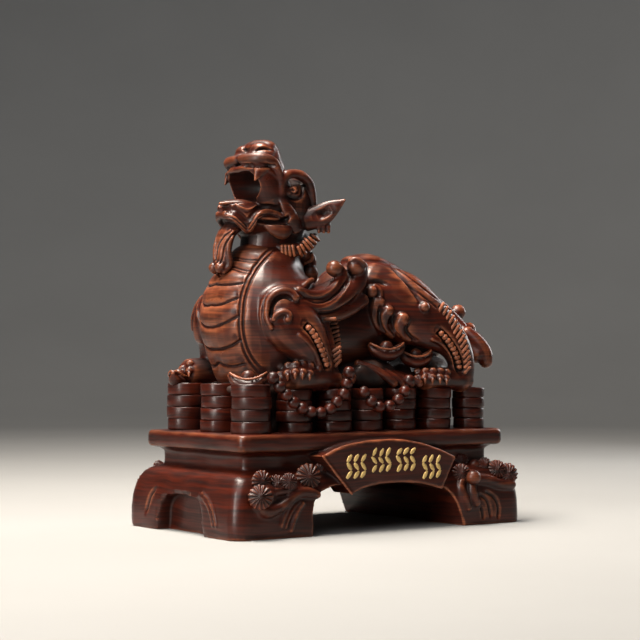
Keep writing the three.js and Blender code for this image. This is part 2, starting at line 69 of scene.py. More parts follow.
# Plinth sizes, from the ground up. The first three are the high corner of the plinth in the frame.
FOOT_HALF_LENGTH, FOOT_HALF_WIDTH, SLAB_TOP = frame_box("plinth")[1]
FOOT_CORNER = 5.5
SLAB_HALF_LENGTH, SLAB_HALF_WIDTH, SLAB_CORNER, SLAB_THICKNESS = 66.5, 37.5, 2, 7
NECK_HALF_LENGTH, NECK_HALF_WIDTH, NECK_CORNER = 61.8, 31.8, 3
APRON_HEIGHT = 26.5
PANEL_FACE = FOOT_HALF_WIDTH - 0.1

# Coin and bead sizes.
COIN_RADIUS, COIN_ROUNDING, COINS_IN_STACK = 8.1, 0.6, 4
COIN_TOP = SLAB_TOP + 17.2
BEAD_RADIUS, THREAD_RADIUS = 2.45, 0.7

# How finely routes are followed, and what counts as the same place or as a jump to another surface.
ROUTE_STEPS, LINE_STEP = 200, 0.4
LEAST_GAP, LARGEST_JUMP = 0.25, 3.0

# Share of a bar's length, at each end, that is rounded off.
CAP_SHARE = 0.2


def smooth_route(rows, count):
    """The rows as one smooth curve: count places evenly spaced along it, further columns following."""
    rows = np.array(rows, float)
    steps = np.linalg.norm(np.diff(rows[:, :3], axis=0), axis=1)
    knots = np.concatenate([[0], np.cumsum(np.sqrt(steps))])
    slopes = np.gradient(rows, knots, axis=0)
    fine = np.linspace(0, knots[-1], 30 * len(rows))
    i = np.clip(np.searchsorted(knots, fine, side="right") - 1, 0, len(rows) - 2)
    gap = (knots[i + 1] - knots[i])[:, None]
    s = (fine - knots[i])[:, None] / gap
    curve = (
        (2 * s**3 - 3 * s**2 + 1) * rows[i] + (s**3 - 2 * s**2 + s) * gap * slopes[i]
        + (3 * s**2 - 2 * s**3) * rows[i + 1] + (s**3 - s**2) * gap * slopes[i + 1]
    )
    run = np.concatenate([[0], np.cumsum(np.linalg.norm(np.diff(curve[:, :3], axis=0), axis=1))])
    return np.stack([np.interp(np.linspace(0, run[-1], count), run, column) for column in curve.T], axis=1)


def unit(vectors):
    return vectors / np.maximum(np.linalg.norm(vectors, axis=-1, keepdims=True), 1e-9)


def spaced(rows):
    """The rows without those that lie on the one before."""
    kept = []
    for row in rows:
        if not kept or math.dist(row[:3], kept[-1][:3]) > LEAST_GAP:
            kept.append(row)
    return kept


def longest_run(rows):
    """The longest stretch of the rows without a jump from one surface to another."""
    runs = [[]]
    for row in rows:
        if runs[-1] and math.dist(row[:3], runs[-1][-1][:3]) > LARGEST_JUMP:
            runs.append([])
        runs[-1].append(row)
    return max(runs, key=len)


def bar(clay, rows, sideways=(0, 1, 0), sides=14, rings=26, blunt=0.8):
    """An oval bar with rounded ends: rows of x, y, z, half width along sideways, half depth across it."""
    made = bmesh.ops.create_uvsphere(clay, u_segments=sides, v_segments=rings, radius=1)["verts"]
    ball_points = np.array([v.co for v in made])
    lift = np.arcsin(np.clip(ball_points[:, 2], -1, 1)) / (math.pi / 2)
    turn = np.arctan2(ball_points[:, 1], ball_points[:, 0])
    past = np.clip((abs(lift) - 1 + CAP_SHARE) / CAP_SHARE, 0, 1) * math.pi / 2
    route = smooth_route(rows, ROUTE_STEPS)
    heading = unit(np.gradient(route[:, :3], axis=0))
    side = np.array(sideways, float)
    across = unit(side - heading * (heading @ side)[:, None])
    over = np.cross(heading, across)
    where = np.clip((lift / (1 - CAP_SHARE) + 1) / 2, 0, 1) * (len(route) - 1)
    frames = np.concatenate([route, heading, across, over], axis=1)
    lower = np.minimum(where.astype(int), len(route) - 2)
    part = (where - lower)[:, None]
    found = frames[lower] * (1 - part) + frames[lower + 1] * part
    middle, width, depth = found[:, :3], found[:, 3:4], found[:, 4:5]
    heading, across, over = found[:, 5:8], found[:, 8:11], found[:, 11:14]
    beyond = (np.sign(lift) * np.sin(past))[:, None] * np.minimum(width, depth) * blunt
    slim = np.cos(past)[:, None]
    places = middle + heading * beyond
    places += across * width * slim * np.cos(turn)[:, None] + over * depth * slim * np.sin(turn)[:, None]
    for vertex, place in zip(made, places):
        vertex.co = place
    return made


def cord(clay, rows, radius, tip=None, **options):
    """A round bar of one radius, or one that narrows to a tip."""
    rows = spaced(rows)
    if len(rows) < 2:
        return []
    radii = np.linspace(radius, radius if tip is None else tip, len(rows))
    round_rows = [(*row[:3], r, r) for row, r in zip(rows, radii)]
    return bar(clay, round_rows, **{"sides": 10, "rings": 22, **options})


def ball(clay, centre, radii, sides=16, rings=10, turned=None):
    """A ball or an egg, turned by a matrix where one is given."""
    size = Matrix.Diagonal((*np.broadcast_to(radii, 3), 1))
    matrix = Matrix.Translation(centre) @ (turned or Matrix()) @ size
    made = bmesh.ops.create_uvsphere(clay, u_segments=sides, v_segments=rings, radius=1, matrix=matrix)
    return made["verts"]


def sided(rows, side):
    """Rows of the near side as they are, or moved over to the far side."""
    return [(row[0], row[1] if side == NEAR else -row[1], *row[2:]) for row in rows]


def piece_from(clay, name):
    mesh = bpy.data.meshes.new(name)
    clay.to_mesh(mesh)
    clay.free()
    piece = bpy.data.objects.new(name, mesh)
    bpy.context.scene.collection.objects.link(piece)
    return piece


def settle(piece):
    """Makes what a piece's modifiers give its mesh."""
    graph = bpy.context.evaluated_depsgraph_get()
    made = bpy.data.meshes.new_from_object(piece.evaluated_get(graph), depsgraph=graph)
    piece.modifiers.clear()
    old = piece.data
    piece.data = made
    bpy.data.meshes.remove(old)
    return piece


def fuse(piece, voxel, soften):
    """One closed skin round all the solids of a piece."""
    skin = piece.modifiers.new("fuse", "REMESH")
    skin.mode = "VOXEL"
    skin.voxel_size = voxel
    smooth = piece.modifiers.new("soften", "SMOOTH")
    smooth.factor = 0.5
    smooth.iterations = soften
    return settle(piece)


def hollow(piece, clay):
    """Cuts the solids of a clay out of a piece."""
    tool = piece_from(clay, "hollow")
    cut = piece.modifiers.new("hollow", "BOOLEAN")
    cut.operation = "DIFFERENCE"
    cut.solver = "MANIFOLD"
    cut.object = tool
    settle(piece)
    bpy.data.objects.remove(tool)


def add_clay(piece, clay):
    """Adds the solids of a clay to a piece's mesh as they are."""
    whole = bmesh.new()
    whole.from_mesh(piece.data)
    extra = bpy.data.meshes.new("extra")
    clay.to_mesh(extra)
    clay.free()
    whole.from_mesh(extra)
    whole.to_mesh(piece.data)
    whole.free()
    bpy.data.meshes.remove(extra)
    return piece


def points_of(mesh):
    flat = np.empty(len(mesh.vertices) * 3, np.float32)
    mesh.vertices.foreach_get("co", flat)
    return flat.reshape(-1, 3).astype(float)


def normals_of(mesh):
    flat = np.empty(len(mesh.vertices) * 3, np.float32)
    mesh.vertex_normals.foreach_get("vector", flat)
    return flat.reshape(-1, 3).astype(float)


def ray_through(pixel):
    return unit(RIGHT * (pixel[0] - AXIS_PX[0]) + UP * (AXIS_PX[1] - pixel[1]) - BACK * FOCAL_PX)


def on_plane(pixel, y):
    """The place on a plane of constant y that the camera sees at a pixel."""
    ray = ray_through(pixel)
    return EYE + ray * (y - EYE[1]) / ray[1]


def at_depth_of(pixel, place):
    """The place that the camera sees at a pixel, as far away as another place is."""
    ray = ray_through(pixel)
    return EYE + ray * ((np.array(place) - EYE) @ BACK) / (ray @ BACK)


class Skin:
    """A fused piece whose surface takes lines drawn in the photograph and is sunk or raised along them."""

    def __init__(self, piece):
        self.mesh = piece.data
        self.at = points_of(self.mesh)
        self.out = normals_of(self.mesh)
        self.drop = np.zeros(len(self.at))
        self.tree = BVHTree.FromObject(piece, bpy.context.evaluated_depsgraph_get())

    def seen(self, pixels, step=3.0):
        """The drawn line as places on the skin, those that miss it left out."""
        drawn = np.array([(u, v, 0) for u, v in pixels], float)
        length = np.linalg.norm(np.diff(drawn, axis=0), axis=1).sum()
        drawn = smooth_route(drawn, max(4, int(length / step))) if len(pixels) > 1 else drawn
        hits = [self.tree.ray_cast(Vector(EYE), Vector(ray_through(pixel)))[0] for pixel in drawn]
        return [tuple(hit) for hit in hits if hit is not None]

    def resting(self, places, lift=0.0):
        """The places moved to the nearest point of the skin and lifted off it."""
        found = [self.tree.find_nearest(Vector(place)) for place in places]
        return [tuple(hit + normal * lift) for hit, normal, _, _ in found]

    def drawn(self, pixels, side, lift=0.0, step=3.0):
        """A line of the near side, or its mirror image on the far side."""
        return longest_run(spaced(self.resting(sided(self.seen(pixels, step), side), lift)))

    def line(self, rows, width, depth, reach=3.0, kind="groove", fade=0.1):
        """Sinks the skin by a depth along a line, or raises it by a negative one. A groove is round, a bowl
        is round and full, a pair is two grooves with a rib between, and a slot has a flat bottom."""
        rows = spaced([row[:3] for row in rows])
        if len(rows) < 2:
            return
        length = np.linalg.norm(np.diff(np.array(rows), axis=0), axis=1).sum()
        count = max(8, int(length / LINE_STEP))
        route = smooth_route(rows, count)
        margin = max(reach, width)
        near = np.flatnonzero(((self.at > route.min(0) - margin) & (self.at < route.max(0) + margin)).all(1))
        if not len(near):
            return
        k = np.concatenate([
            ((self.at[some][:, None] - route[None]) ** 2).sum(2).argmin(1)
            for some in np.array_split(near, 1 + len(near) * count // 3000000)
        ])
        off = self.at[near] - route[k]
        out = self.out[near]
        up = (off * out).sum(1)
        aside = off - out * up[:, None]
        distance = np.minimum(np.linalg.norm(aside, axis=1) / width, 1)
        shapes = {
            "groove": lambda d: 0.5 + 0.5 * np.cos(math.pi * d),
            "bowl": lambda d: 1 - d**2,
            "pair": lambda d: np.sin(math.pi * d) ** 2,
            "slot": lambda d: np.clip((1 - d) / 0.3, 0, 1) ** 1.5,
        }
        along = k / (count - 1)
        ends = np.clip(np.minimum(along, 1 - along) / fade + 0.15, 0, 1) if fade else 1
        self.drop[near] += depth * shapes[kind](distance) * ends * (abs(up) < reach)

    def soften(self, centre, radius, rounds=12):
        """Evens the skin inside a ball, most at its middle, so that carved forms run into one another."""
        near = np.flatnonzero(((self.at - centre) ** 2).sum(1) < radius**2)
        if not len(near):
            return
        tree = KDTree(len(near))
        for k, place in enumerate(self.at[near].tolist()):
            tree.insert(place, k)
        tree.balance()
        around = [[k for _, k, _ in tree.find_n(place, 8)] for place in self.at[near].tolist()]
        around = np.array([row + [row[0]] * (8 - len(row)) for row in around])
        inward = 1 - np.linalg.norm(self.at[near] - centre, axis=1) / radius
        share = np.clip(1.6 * inward, 0, 1)[:, None] * 0.7
        for _ in range(rounds):
            self.at[near] += (self.at[near][around].mean(1) - self.at[near]) * share

    def write(self):
        """Moves the mesh's points as noted so far."""
        moved = self.at - self.out * self.drop[:, None]
        self.mesh.vertices.foreach_set("co", moved.astype(np.float32).ravel())
        self.mesh.update()


def thin_out(piece, triangles):
    """Leaves about so many triangles, fewest where the skin is flat."""
    piece.data.calc_loop_triangles()
    share = triangles / max(len(piece.data.loop_triangles), 1)
    if share < 1:
        fewer = piece.modifiers.new("fewer", "DECIMATE")
        fewer.ratio = share
        settle(piece)
    return piece


# The rays that look for cover over a point: how far each leans from the normal, and its turn round it.
RECESS_RAYS = [(0, 0)]
RECESS_RAYS += [(0.62, k * math.pi / 3) for k in range(6)]
RECESS_RAYS += [(1.1, (k + 0.5) * math.pi / 2) for k in range(4)]


def note_relief(piece, reach=5.0, spread=5, height=0.12, least_painted_shade=0.0):
    """Gives a piece's points two attributes that paint light into its colour: one for painted shade, from 0
    in the open to 1 in a deep hollow or crease, and raised, from 0 on the flat to 1 on a ridge, for a
    painted highlight with worn lacquer. The last argument is the least painted shade of a piece in shadow."""
    mesh = piece.data
    at, out = points_of(mesh), normals_of(mesh)
    edges = np.empty(len(mesh.edges) * 2, np.int32)
    mesh.edges.foreach_get("vertices", edges)
    one, other = edges.reshape(-1, 2).T
    degree = np.maximum(np.bincount(edges, minlength=len(at)), 1)

    def evened(values):
        total = np.bincount(one, weights=values[other], minlength=len(at))
        return (values + (total + np.bincount(other, weights=values[one], minlength=len(at))) / degree) / 2

    smooth = at.copy()
    for _ in range(spread):
        smooth = np.stack([evened(column) for column in smooth.T], axis=1)
    bulge = ((at - smooth) * out).sum(1)
    # Ridges are marked for a painted highlight with worn lacquer, creases for painted shade.
    raised = np.clip(bulge / height, 0, 1)
    painted_shade = np.clip(-bulge / height, 0, 1) * 0.6
    # Rays find how much of the piece covers each point, and that cover becomes painted shade.
    tree = BVHTree.FromObject(piece, bpy.context.evaluated_depsgraph_get())
    level = unit(np.cross(out, np.where(abs(out[:, 2:]) > 0.9, (1.0, 0, 0), (0, 0, 1.0))))
    third = np.cross(out, level)
    blocked = np.zeros(len(at))
    for lean, turn in RECESS_RAYS:
        rays = out * math.cos(lean) + (level * math.cos(turn) + third * math.sin(turn)) * math.sin(lean)
        starts = at + out * 0.15
        blocked += [
            tree.ray_cast(start, ray, reach)[3] is not None
            for start, ray in zip(starts.tolist(), rays.tolist())
        ]
    painted_shade = np.maximum(painted_shade, blocked / len(RECESS_RAYS))
    # A piece in shadow gets painted shade all over, at least as much as the last argument asks.
    painted_shade = np.maximum(evened(painted_shade), least_painted_shade)
    raised = evened(evened(raised))
    for name, values in (("painted_shade", painted_shade), ("raised", raised)):
        mesh.attributes.new(name, "FLOAT", "POINT").data.foreach_set("value", values.astype(np.float32))


# The beast's body.

CHEST_RIM = [
    (273, 249), (265, 256), (257, 265), (251, 275), (246, 286), (242.5, 298), (241, 311), (240.5, 324),
    (242, 338), (246, 351), (253, 363), (262, 372),
]
CHEST_PLATES = [
    [(260, 260), (251, 260), (242, 259)],
    [(252, 271.5), (241, 270), (232, 267.5), (226, 271), (219, 275), (213, 276)],
    [(244, 282), (233, 283.5), (220, 284), (208, 281.5)],
    [(239, 297), (230, 300), (220, 304), (209, 304.5), (200, 300)],
    [(239, 315), (228, 321), (215, 326.5), (206, 327), (199, 321)],
    [(241, 340), (230, 346.5), (217, 350), (208, 348), (200, 339)],
    [(246, 364), (233, 367), (221, 365), (211, 357)],
]
SHOULDER_OUTER_RIDGE = [
    (301, 298), (292, 290), (284, 287), (274, 289), (266, 296), (262, 305), (261, 316), (263, 328),
    (268, 339),
]
SHOULDER_RIDGE = [
    (295, 299), (290, 293), (283, 291.5), (275, 294), (269.5, 300), (267.5, 308), (268, 318), (272, 328),
]
SHOULDER_GAP = [(292, 300), (285, 297), (278, 299), (273.5, 304), (271.5, 311), (271, 319)]
SHOULDER_HOOK = [(273, 319), (277, 315), (282, 312.5), (287, 313), (289, 316.5), (287.5, 320)]
FORELEG_EDGE = [(299, 335), (307, 342), (314, 351), (318, 361), (319.5, 370)]
FORELEG_SLOT = [(305, 324), (312, 331), (318, 341), (322.5, 351), (326, 361), (328.5, 369)]
FORELEG_COMB = [(329.5, 319), (332, 326), (333.5, 334), (335, 342), (336, 350), (337, 357), (337.5, 363)]
HIND_EDGE = [(432, 339), (440, 343), (447, 350), (452, 359), (454, 370)]
HIND_SLOT = [(438, 330), (444, 336), (449.5, 343), (454.5, 351.5), (458, 361), (460, 372)]
HIND_COMB = [
    (441, 308), (446, 313), (451, 320), (456, 329), (460, 336), (463, 343), (465.5, 352), (467, 361),
    (467, 370),
]
HAUNCH_EDGE = [(347, 262), (356, 259), (363, 263), (369, 270), (371.5, 280)]
HAUNCH_COMMA = [(368, 284), (374, 281.5), (381, 282), (388, 285)]
RUMP_CURL_RIDGE = [(374, 286), (379.5, 290), (381, 297), (377, 304), (373, 310)]
HIP_CURLS = [
    [(377, 302), (374, 312), (375, 322), (381, 332)],
    [(388, 310), (384, 318), (384.5, 327), (392, 336)],
    [(403, 318), (399, 325), (401, 333), (409, 339)],
]
HIP_GROOVES = [
    [(380, 306), (379, 316), (381, 326), (388, 337)],
    [(394, 313), (392, 322), (395, 331), (402, 339)],
    [(409, 322), (406, 329), (410, 336), (418, 341)],
]
HIP_BALLS = [((371, 292), 2.6), ((380, 303), 2.2), ((388, 311), 2.4), ((402.5, 320.5), 2.3)]
TAIL_GAP = [(386, 264), (398, 272.5), (408, 283), (416, 294), (422, 304)]
TAIL_KNOT = (424, 307)
TAIL_EDGE = [(396, 273), (409, 284), (422, 295), (433, 304), (438, 309)]
TAIL_END = [(438.5, 308), (443, 304), (447, 302)]
TAIL_STRANDS = [
    [(366, 256), (381, 261), (396, 268), (410, 278), (424, 289), (438, 300)],
    [(452, 312), (458, 322), (464, 333), (472, 343), (480, 354)],
]
FORE_TOES = [(281, 367), (288.5, 365.5), (296, 364.5), (303.5, 364.5), (310.5, 366)]
FAR_FORE_TOES = [(169.5, 362.5), (176, 361), (183, 361.5), (190, 363.5)]
HIND_TOES = [(418, 371.5), (425.5, 371), (433, 371), (440.5, 371), (447, 372)]
WING_GROOVES = [
    [(308, 300), (316, 302.5), (326, 301), (334, 296), (342, 288), (347, 279)],
    [(318, 313), (330, 312.5), (341, 307.5), (352, 300), (359, 292)],
]
WING_RIDGES = [
    [(304, 292), (311, 295.5), (320, 295.8), (328, 292.5), (335, 286.5), (339, 279)],
    [(309, 305), (316, 308), (325, 307), (335, 302), (344, 293), (350, 283), (352, 274)],
]
COMB_CORES = [
    [(-19.5, -24.5, 87), (-18, -26, 81), (-17.2, -27.5, 75), (-16, -28, 69), (-15.6, -27.5, 63.5)],
    [(41.5, -23, 92), (46, -25.5, 86.8), (50.5, -27, 80), (54.5, -28, 73), (56, -27.5, 65)],
]

# Rows of toes: their pixels, size, how many pixels the lower knuckle is under the upper, and their sides.
TOE_ROWS = [
    (FORE_TOES, 1.72, 7.6, (NEAR,)), (FAR_FORE_TOES, 1.6, 7.4, (NEAR,)), (HIND_TOES, 1.62, 6.4, (NEAR, FAR)),
]
SCALES_IN_SLOT = 9
BODY_TRIANGLES, HEAD_TRIANGLES, PLINTH_TRIANGLES = 165000, 150000, 180000


def chest_and_trunk(clay):
    bar(clay, [
        (-31, 0, 58, 17, 17), (-32, 0, 67, 22, 21.5), (-32, 0, 78, 25.5, 25.5), (-32, 0, 88, 26.4, 26.4),
        (-31, 0, 98, 23.5, 24), (-29.5, 0, 106, 17.5, 18.5), (-26.5, 0, 113, 12.5, 12.5),
        (-24, 0, 125, 11, 11),
    ], sides=40, rings=50)
    bar(clay, [
        (-22, 0, 84, 23, 20), (-6, 0, 80, 21, 18.5), (6, 0, 82, 21, 20), (19, 0, 91.5, 21, 21),
        (32, 0, 87.5, 18, 18.5), (45, 0, 82, 13, 14), (56, 0, 77, 8, 9),
    ], sides=40, rings=50)


def tail(clay):
    bar(clay, [
        (12, 0, 110, 6, 3.5), (20, 0, 111.5, 8, 3.2), (28, 0, 109.5, 8, 3), (38, -2, 104, 7.6, 3),
        (47, -4, 98, 7, 3), (56, -6, 91.5, 6, 3.4), (62, -11, 83.5, 5, 3.6), (62.8, -16.5, 77, 4.6, 3.8),
        (64.2, -22.5, 70.5, 3.6, 3.2),
    ], sides=18, rings=50)
    ball(clay, (65.5, -8, 90), 3.5)
    ball(clay, (66, -15, 81.5), (3.2, 3.2, 4))
    bar(clay, [
        (62, -18, 81, 3, 3), (65, -21, 76.5, 4, 3.8), (67, -23.5, 71.5, 4, 3.8), (67.6, -24.5, 67.5, 3, 2.8),
    ], sides=18, rings=26)


def leg_and_foot(clay, side):
    """The foreleg and hind leg of one side. The far forefoot steps further forward."""
    step, lift = (-15, 2) if side == FAR else (0, 0)
    bar(clay, sided([
        (-36, -18, 93, 9, 12.5), (-34 + step * 0.3, -23.5, 84, 8, 12.5),
        (-28.5 + step * 0.6, -26, 76, 7.2, 10),
        (-23.5 + step, -26.5, 68.5, 6.4, 6.6), (-22 + step, -26, 61, 6.4, 6.6),
    ], side), sides=24, rings=36)
    bar(clay, sided([
        (-16 + step, -25.5, 61 + lift, 6, 5), (-27 + step, -26.5, 62 + lift, 6.8, 5.8),
        (-36 + step, -27, 61.8 + lift, 6.6, 5.8),
    ], side), sides=18, rings=24)
    bar(clay, sided([
        (13, -11, 98, 11, 13), (24, -19, 91.5, 9, 15.5), (36, -25, 84, 6.8, 11.5), (46, -28, 76, 5.8, 7.5),
        (50.5, -28, 68, 5.6, 6), (50, -27, 60, 6, 6.4),
    ], side), sides=24, rings=36)
    bar(clay, sided([
        (53, -26.5, 60, 6, 4.2), (42, -27, 61, 6.6, 4.9), (31, -27, 60.8, 6.4, 4.7),
    ], side), sides=18, rings=24)


def wing(clay, side):
    """The wing plate and its three broad feathers, the upper two curled up at the end round a ball."""
    bar(clay, sided([
        (-30, -19, 92, 6.5, 6), (-15, -19, 93.5, 5.5, 7), (-2, -18.5, 98, 4.6, 8), (3, -17.5, 104, 3.6, 5.5),
    ], side), sides=20, rings=30)
    bar(clay, sided([
        (-33, -26.5, 97, 1.8, 1.6), (-24.8, -26, 94.7, 2, 2.4), (-17.3, -25, 95.7, 2, 2.8),
        (-11.2, -23.5, 99.2, 2, 2.8), (-7.6, -22, 104, 2, 2.5), (-9.5, -21.5, 107.6, 2, 1.6),
    ], side), rings=40, sides=18)
    ball(clay, *sided([(-12, -22.4, 106.4)], side), 3.5)
    bar(clay, sided([
        (-31.7, -27, 92, 1.8, 1.8), (-24, -27, 90.6, 2, 2.6), (-14.9, -26, 91.8, 2.2, 3.2),
        (-5.9, -24.5, 96, 2.2, 3.6), (1, -22.5, 102, 2.2, 3.4), (3.6, -21.5, 108, 2, 2.2),
    ], side), rings=40, sides=18)
    ball(clay, *sided([(-1.4, -23, 107.6)], side), 4)
    bar(clay, sided([
        (-25, -26, 87, 1.6, 1.4), (-14.9, -25.5, 87, 2, 2.8), (-6.6, -24.5, 89.6, 2.2, 3.2),
        (3, -23, 94, 2, 2.6),
    ], side), rings=34, sides=18)
    cord(clay, sided([(-29, -23, 97), (-25.5, -22, 100), (-22, -21, 101.5)], side), 1.3)


def curls(clay, skin, side):
    """Raised scrolls, curls and balls, drawn on the body's skin."""
    cord(clay, skin.drawn(SHOULDER_OUTER_RIDGE, side), 0.9, 0.6, rings=40)
    cord(clay, skin.drawn(SHOULDER_RIDGE, side, 0.5), 1.8, 1.0, rings=40)
    cord(clay, skin.drawn(SHOULDER_HOOK, side, 0.5), 1.35, rings=30)
    cord(clay, skin.drawn(RUMP_CURL_RIDGE, side, 0.2), 1.1, 0.7, rings=30)
    for curl in HIP_CURLS:
        cord(clay, skin.drawn(curl, side, 0.1), 2.9, 1.3, rings=30)
    ball(clay, skin.drawn([TAIL_KNOT], side, 0.2)[0], 2.3)
    for pixel, radius in HIP_BALLS:
        ball(clay, skin.drawn([pixel], side, radius * 0.35)[0], radius)
    cord(clay, skin.drawn(FORELEG_EDGE, side, -0.1), 1.0, 0.9, rings=30)
    cord(clay, skin.drawn(HIND_EDGE, side, -0.1), 1.0, 0.9, rings=30)
    cord(clay, skin.drawn(HAUNCH_EDGE, side, 0), 1.1, rings=30)


def toe(clay, skin, pixel, size, drop, side):
    """A toe of two knuckles, the lower one so many pixels under the other, and a claw."""
    u, v = pixel
    for aside, down in ((0, 0), (-0.1, 1)):
        for place in skin.seen([(u + aside * drop, v + down * drop)]):
            knuckle = np.array(place) + BACK * 0.5
            inner = knuckle - BACK * 3
            bar(clay, sided([(*inner, size, size * 0.92), (*knuckle, size, size * 0.92)], side),
                sideways=RIGHT * (1, -side, 1), sides=16, rings=16, blunt=0.5)
            if down:
                claw = [knuckle + BACK * 0.7 - UP * size * 0.6, knuckle + BACK * 1.4 - UP * size * 1.7]
                cord(clay, sided(claw, side), size * 0.55, 0.3)


def toes(clay, skin):
    """Rows of toes on the feet. The far forefoot stands further forward and shows its inner side."""
    for pixels, size, drop, sides in TOE_ROWS:
        for pixel in pixels:
            for side in sides:
                toe(clay, skin, pixel, size, drop, side)


def carve_body(skin):
    """Sinks and raises the lines of the chest, legs, hip, tail and wing."""
    for side in (NEAR, FAR):
        skin.line(skin.drawn(CHEST_RIM, side), 1.9, 0.95, kind="pair", reach=4)
    for plate in CHEST_PLATES:
        half = [place for place in skin.seen(plate) if place[1] <= 0.5]
        if len(half) < 2:
            continue
        whole = half + skin.resting(sided(half[::-1], FAR))
        skin.line(whole, 4.0, 0.45, reach=5, fade=0.05)
        if plate in CHEST_PLATES[:2]:
            skin.line(whole, 1.2, 0.7, kind="pair", fade=0.04)
        else:
            skin.line(whole, 0.95, 1.0, fade=0.04)
    for side in (NEAR, FAR):
        skin.line(skin.drawn(SHOULDER_GAP, side), 1.0, 1.5)
        skin.line(skin.drawn(FORELEG_SLOT, side), 2.3, 1.5, kind="slot", fade=0.05)
        skin.line(skin.drawn(HIND_SLOT, side), 2.1, 1.4, kind="slot", fade=0.05)
        skin.line(skin.drawn(HAUNCH_COMMA, side), 1.5, 1.3, fade=0.3)
        skin.line(skin.drawn(TAIL_GAP, side), 1.9, 1.5, reach=3.5, fade=0.25)
        skin.line(skin.drawn(TAIL_EDGE, side), 0.8, 0.7, reach=2.5)
        skin.line(skin.drawn(TAIL_END, side), 0.8, 0.7, reach=2.5)
        for groove in HIP_GROOVES:
            skin.line(skin.drawn(groove, side), 1.1, 0.9)
        for strand in TAIL_STRANDS:
            skin.line(skin.drawn(strand, side), 0.7, 0.45, reach=2)
        for feather in WING_GROOVES:
            skin.line(skin.drawn(feather, side), 0.9, 0.8)
        for feather in WING_RIDGES:
            skin.line(skin.drawn(feather, side), 0.8, -0.4)


def scales(clay, skin, side, slot, width):
    """Overlapping scales along a slot, each tilted over the next."""
    places = skin.drawn(slot, side)
    route = smooth_route(places, SCALES_IN_SLOT + 2)
    heading = unit(np.gradient(route, axis=0))
    for k in range(1, SCALES_IN_SLOT + 1):
        hit, normal, _, _ = skin.tree.find_nearest(Vector(route[k]))
        along = Vector(heading[k])
        across = normal.cross(along).normalized()
        face = (normal - along * 0.5).normalized()
        along = face.cross(across)
        turned = Matrix((across, along, face)).transposed().to_4x4()
        size = width * (0.8 + 0.2 * math.sin(math.pi * k / (SCALES_IN_SLOT + 1)))
        ball(clay, hit - normal * 0.25, (size, size * 0.92, 1.15), sides=12, rings=8, turned=turned)


def comb(clay, skin, side, drawn, count, long, turns):
    """A fringe of short bars side by side, the picture's angle turning from the first to the last."""
    drawn = smooth_route([(u, v, 0) for u, v in drawn], count)
    for k, (u, v, _) in enumerate(drawn):
        share = k / (count - 1)
        angle = math.radians(turns[0] + (turns[1] - turns[0]) * share)
        half = long[0] + (long[1] - long[0]) * share
        middle = skin.seen([(u, v)])
        if not middle:
            continue
        middle = np.array(middle[0]) + BACK * 0.6
        ends = [
            at_depth_of((u + reach * math.cos(angle) * half, v - reach * math.sin(angle) * half), middle)
            for reach in (-1, 0, 1)
        ]
        cord(clay, sided([tuple(end) for end in ends], side), 0.8, sides=10, rings=10)


def make_body():
    clay = bmesh.new()
    chest_and_trunk(clay)
    tail(clay)
    for side in (NEAR, FAR):
        leg_and_foot(clay, side)
        wing(clay, side)
        for core in COMB_CORES:
            cord(clay, sided(core, side), 1.7)
    piece = fuse(piece_from(clay, "pixiu_body"), 0.55, 2)
    skin = Skin(piece)
    clay = bmesh.new()
    for side in (NEAR, FAR):
        curls(clay, skin, side)
    toes(clay, skin)
    add_clay(piece, clay)
    fuse(piece, 0.4, 3)
    skin = Skin(piece)
    carve_body(skin)
    skin.write()
    thin_out(piece, BODY_TRIANGLES)
    clay = bmesh.new()
    for side in (NEAR, FAR):
        scales(clay, skin, side, FORELEG_SLOT, 1.6)
        scales(clay, skin, side, HIND_SLOT, 1.45)
        comb(clay, skin, side, FORELEG_COMB, 11, (6, 4.4), (0, 48))
        comb(clay, skin, side, HIND_COMB, 14, (5.4, 4), (60, 50))
    return add_clay(piece, clay)


# The beast's head.

UPPER_LIP_GROOVE = [(277, 165.5), (262, 165.5), (248, 165.5), (236, 164), (227, 163)]
NOSTRIL = [(254.5, 151), (259, 148.3), (266, 147.8), (272, 149.5)]
NOSE_CLEFT = [(240, 144), (245, 149.5), (251, 153)]
EAR_HOLLOW = [(317, 216), (324, 212.5), (331, 209)]
EYE_SOCKET = [(286, 187), (288, 195), (294, 198), (301, 196), (303, 188), (300, 182), (293, 181)]
PUPIL = [(291.6, 189.2), (293.6, 190.4)]
MOUTH_CORNERS = [((-29, -13, 134.5), 6), ((-30, -13, 142), 5)]
MOUTH_HOLLOWS = [((-49, 0, 140.2), (21, 11.8, 7.6)), ((-48, 0, 134.2), (13, 9, 2.8))]
JAW_GAP = [(257, 220.5), (266, 221.5), (277, 222), (285, 220), (290, 215)]
LIP_WAVE = [
    (220, 214.5), (226, 215), (233, 216.5), (240.5, 222.5), (248, 229), (253.5, 222), (259, 214.5),
    (266, 212.5),
    (275, 214), (283, 216.5), (287.5, 212.5), (287.5, 205),
]
LIP_RIM = [(219.5, 202.5), (226, 201), (232, 202), (240, 207), (248, 209.5), (256, 206)]
LIP_BAND = [
    (223, 208.5), (232, 209), (240, 214), (247.5, 219.5), (253, 213.5), (260, 207.5), (270, 206.5),
    (280, 209),
]
LIP_WAVE_GROOVE = [
    (223, 217), (233, 218), (241, 224), (248, 229.5), (254, 223), (259.5, 216), (267, 214), (276, 215.5),
]
NECK_CURLS = [[(311, 254), (311, 260), (306, 262)], [(305, 262), (301, 266), (300, 272)]]
RUFF_RIBS = [
    ((282, 246), (282.5, 256)), ((285.3, 246), (286, 255.5)), ((288.6, 246), (290, 255)), ((292, 246),
    (294, 255)),
    ((297.5, 247), (301.5, 255)), ((300.5, 245), (305, 253)), ((303, 242), (309, 249)), ((304.5, 239),
    (312, 247)),
    ((306, 236), (315, 243.5)), ((308.5, 233.5), (318, 240)),
]
BEARD_STRANDS = [
    [(233, 229), (224, 236), (218, 246), (216, 257), (213, 263)],
    [(237, 231), (229, 238), (224, 247), (222, 258), (219, 265)],
]


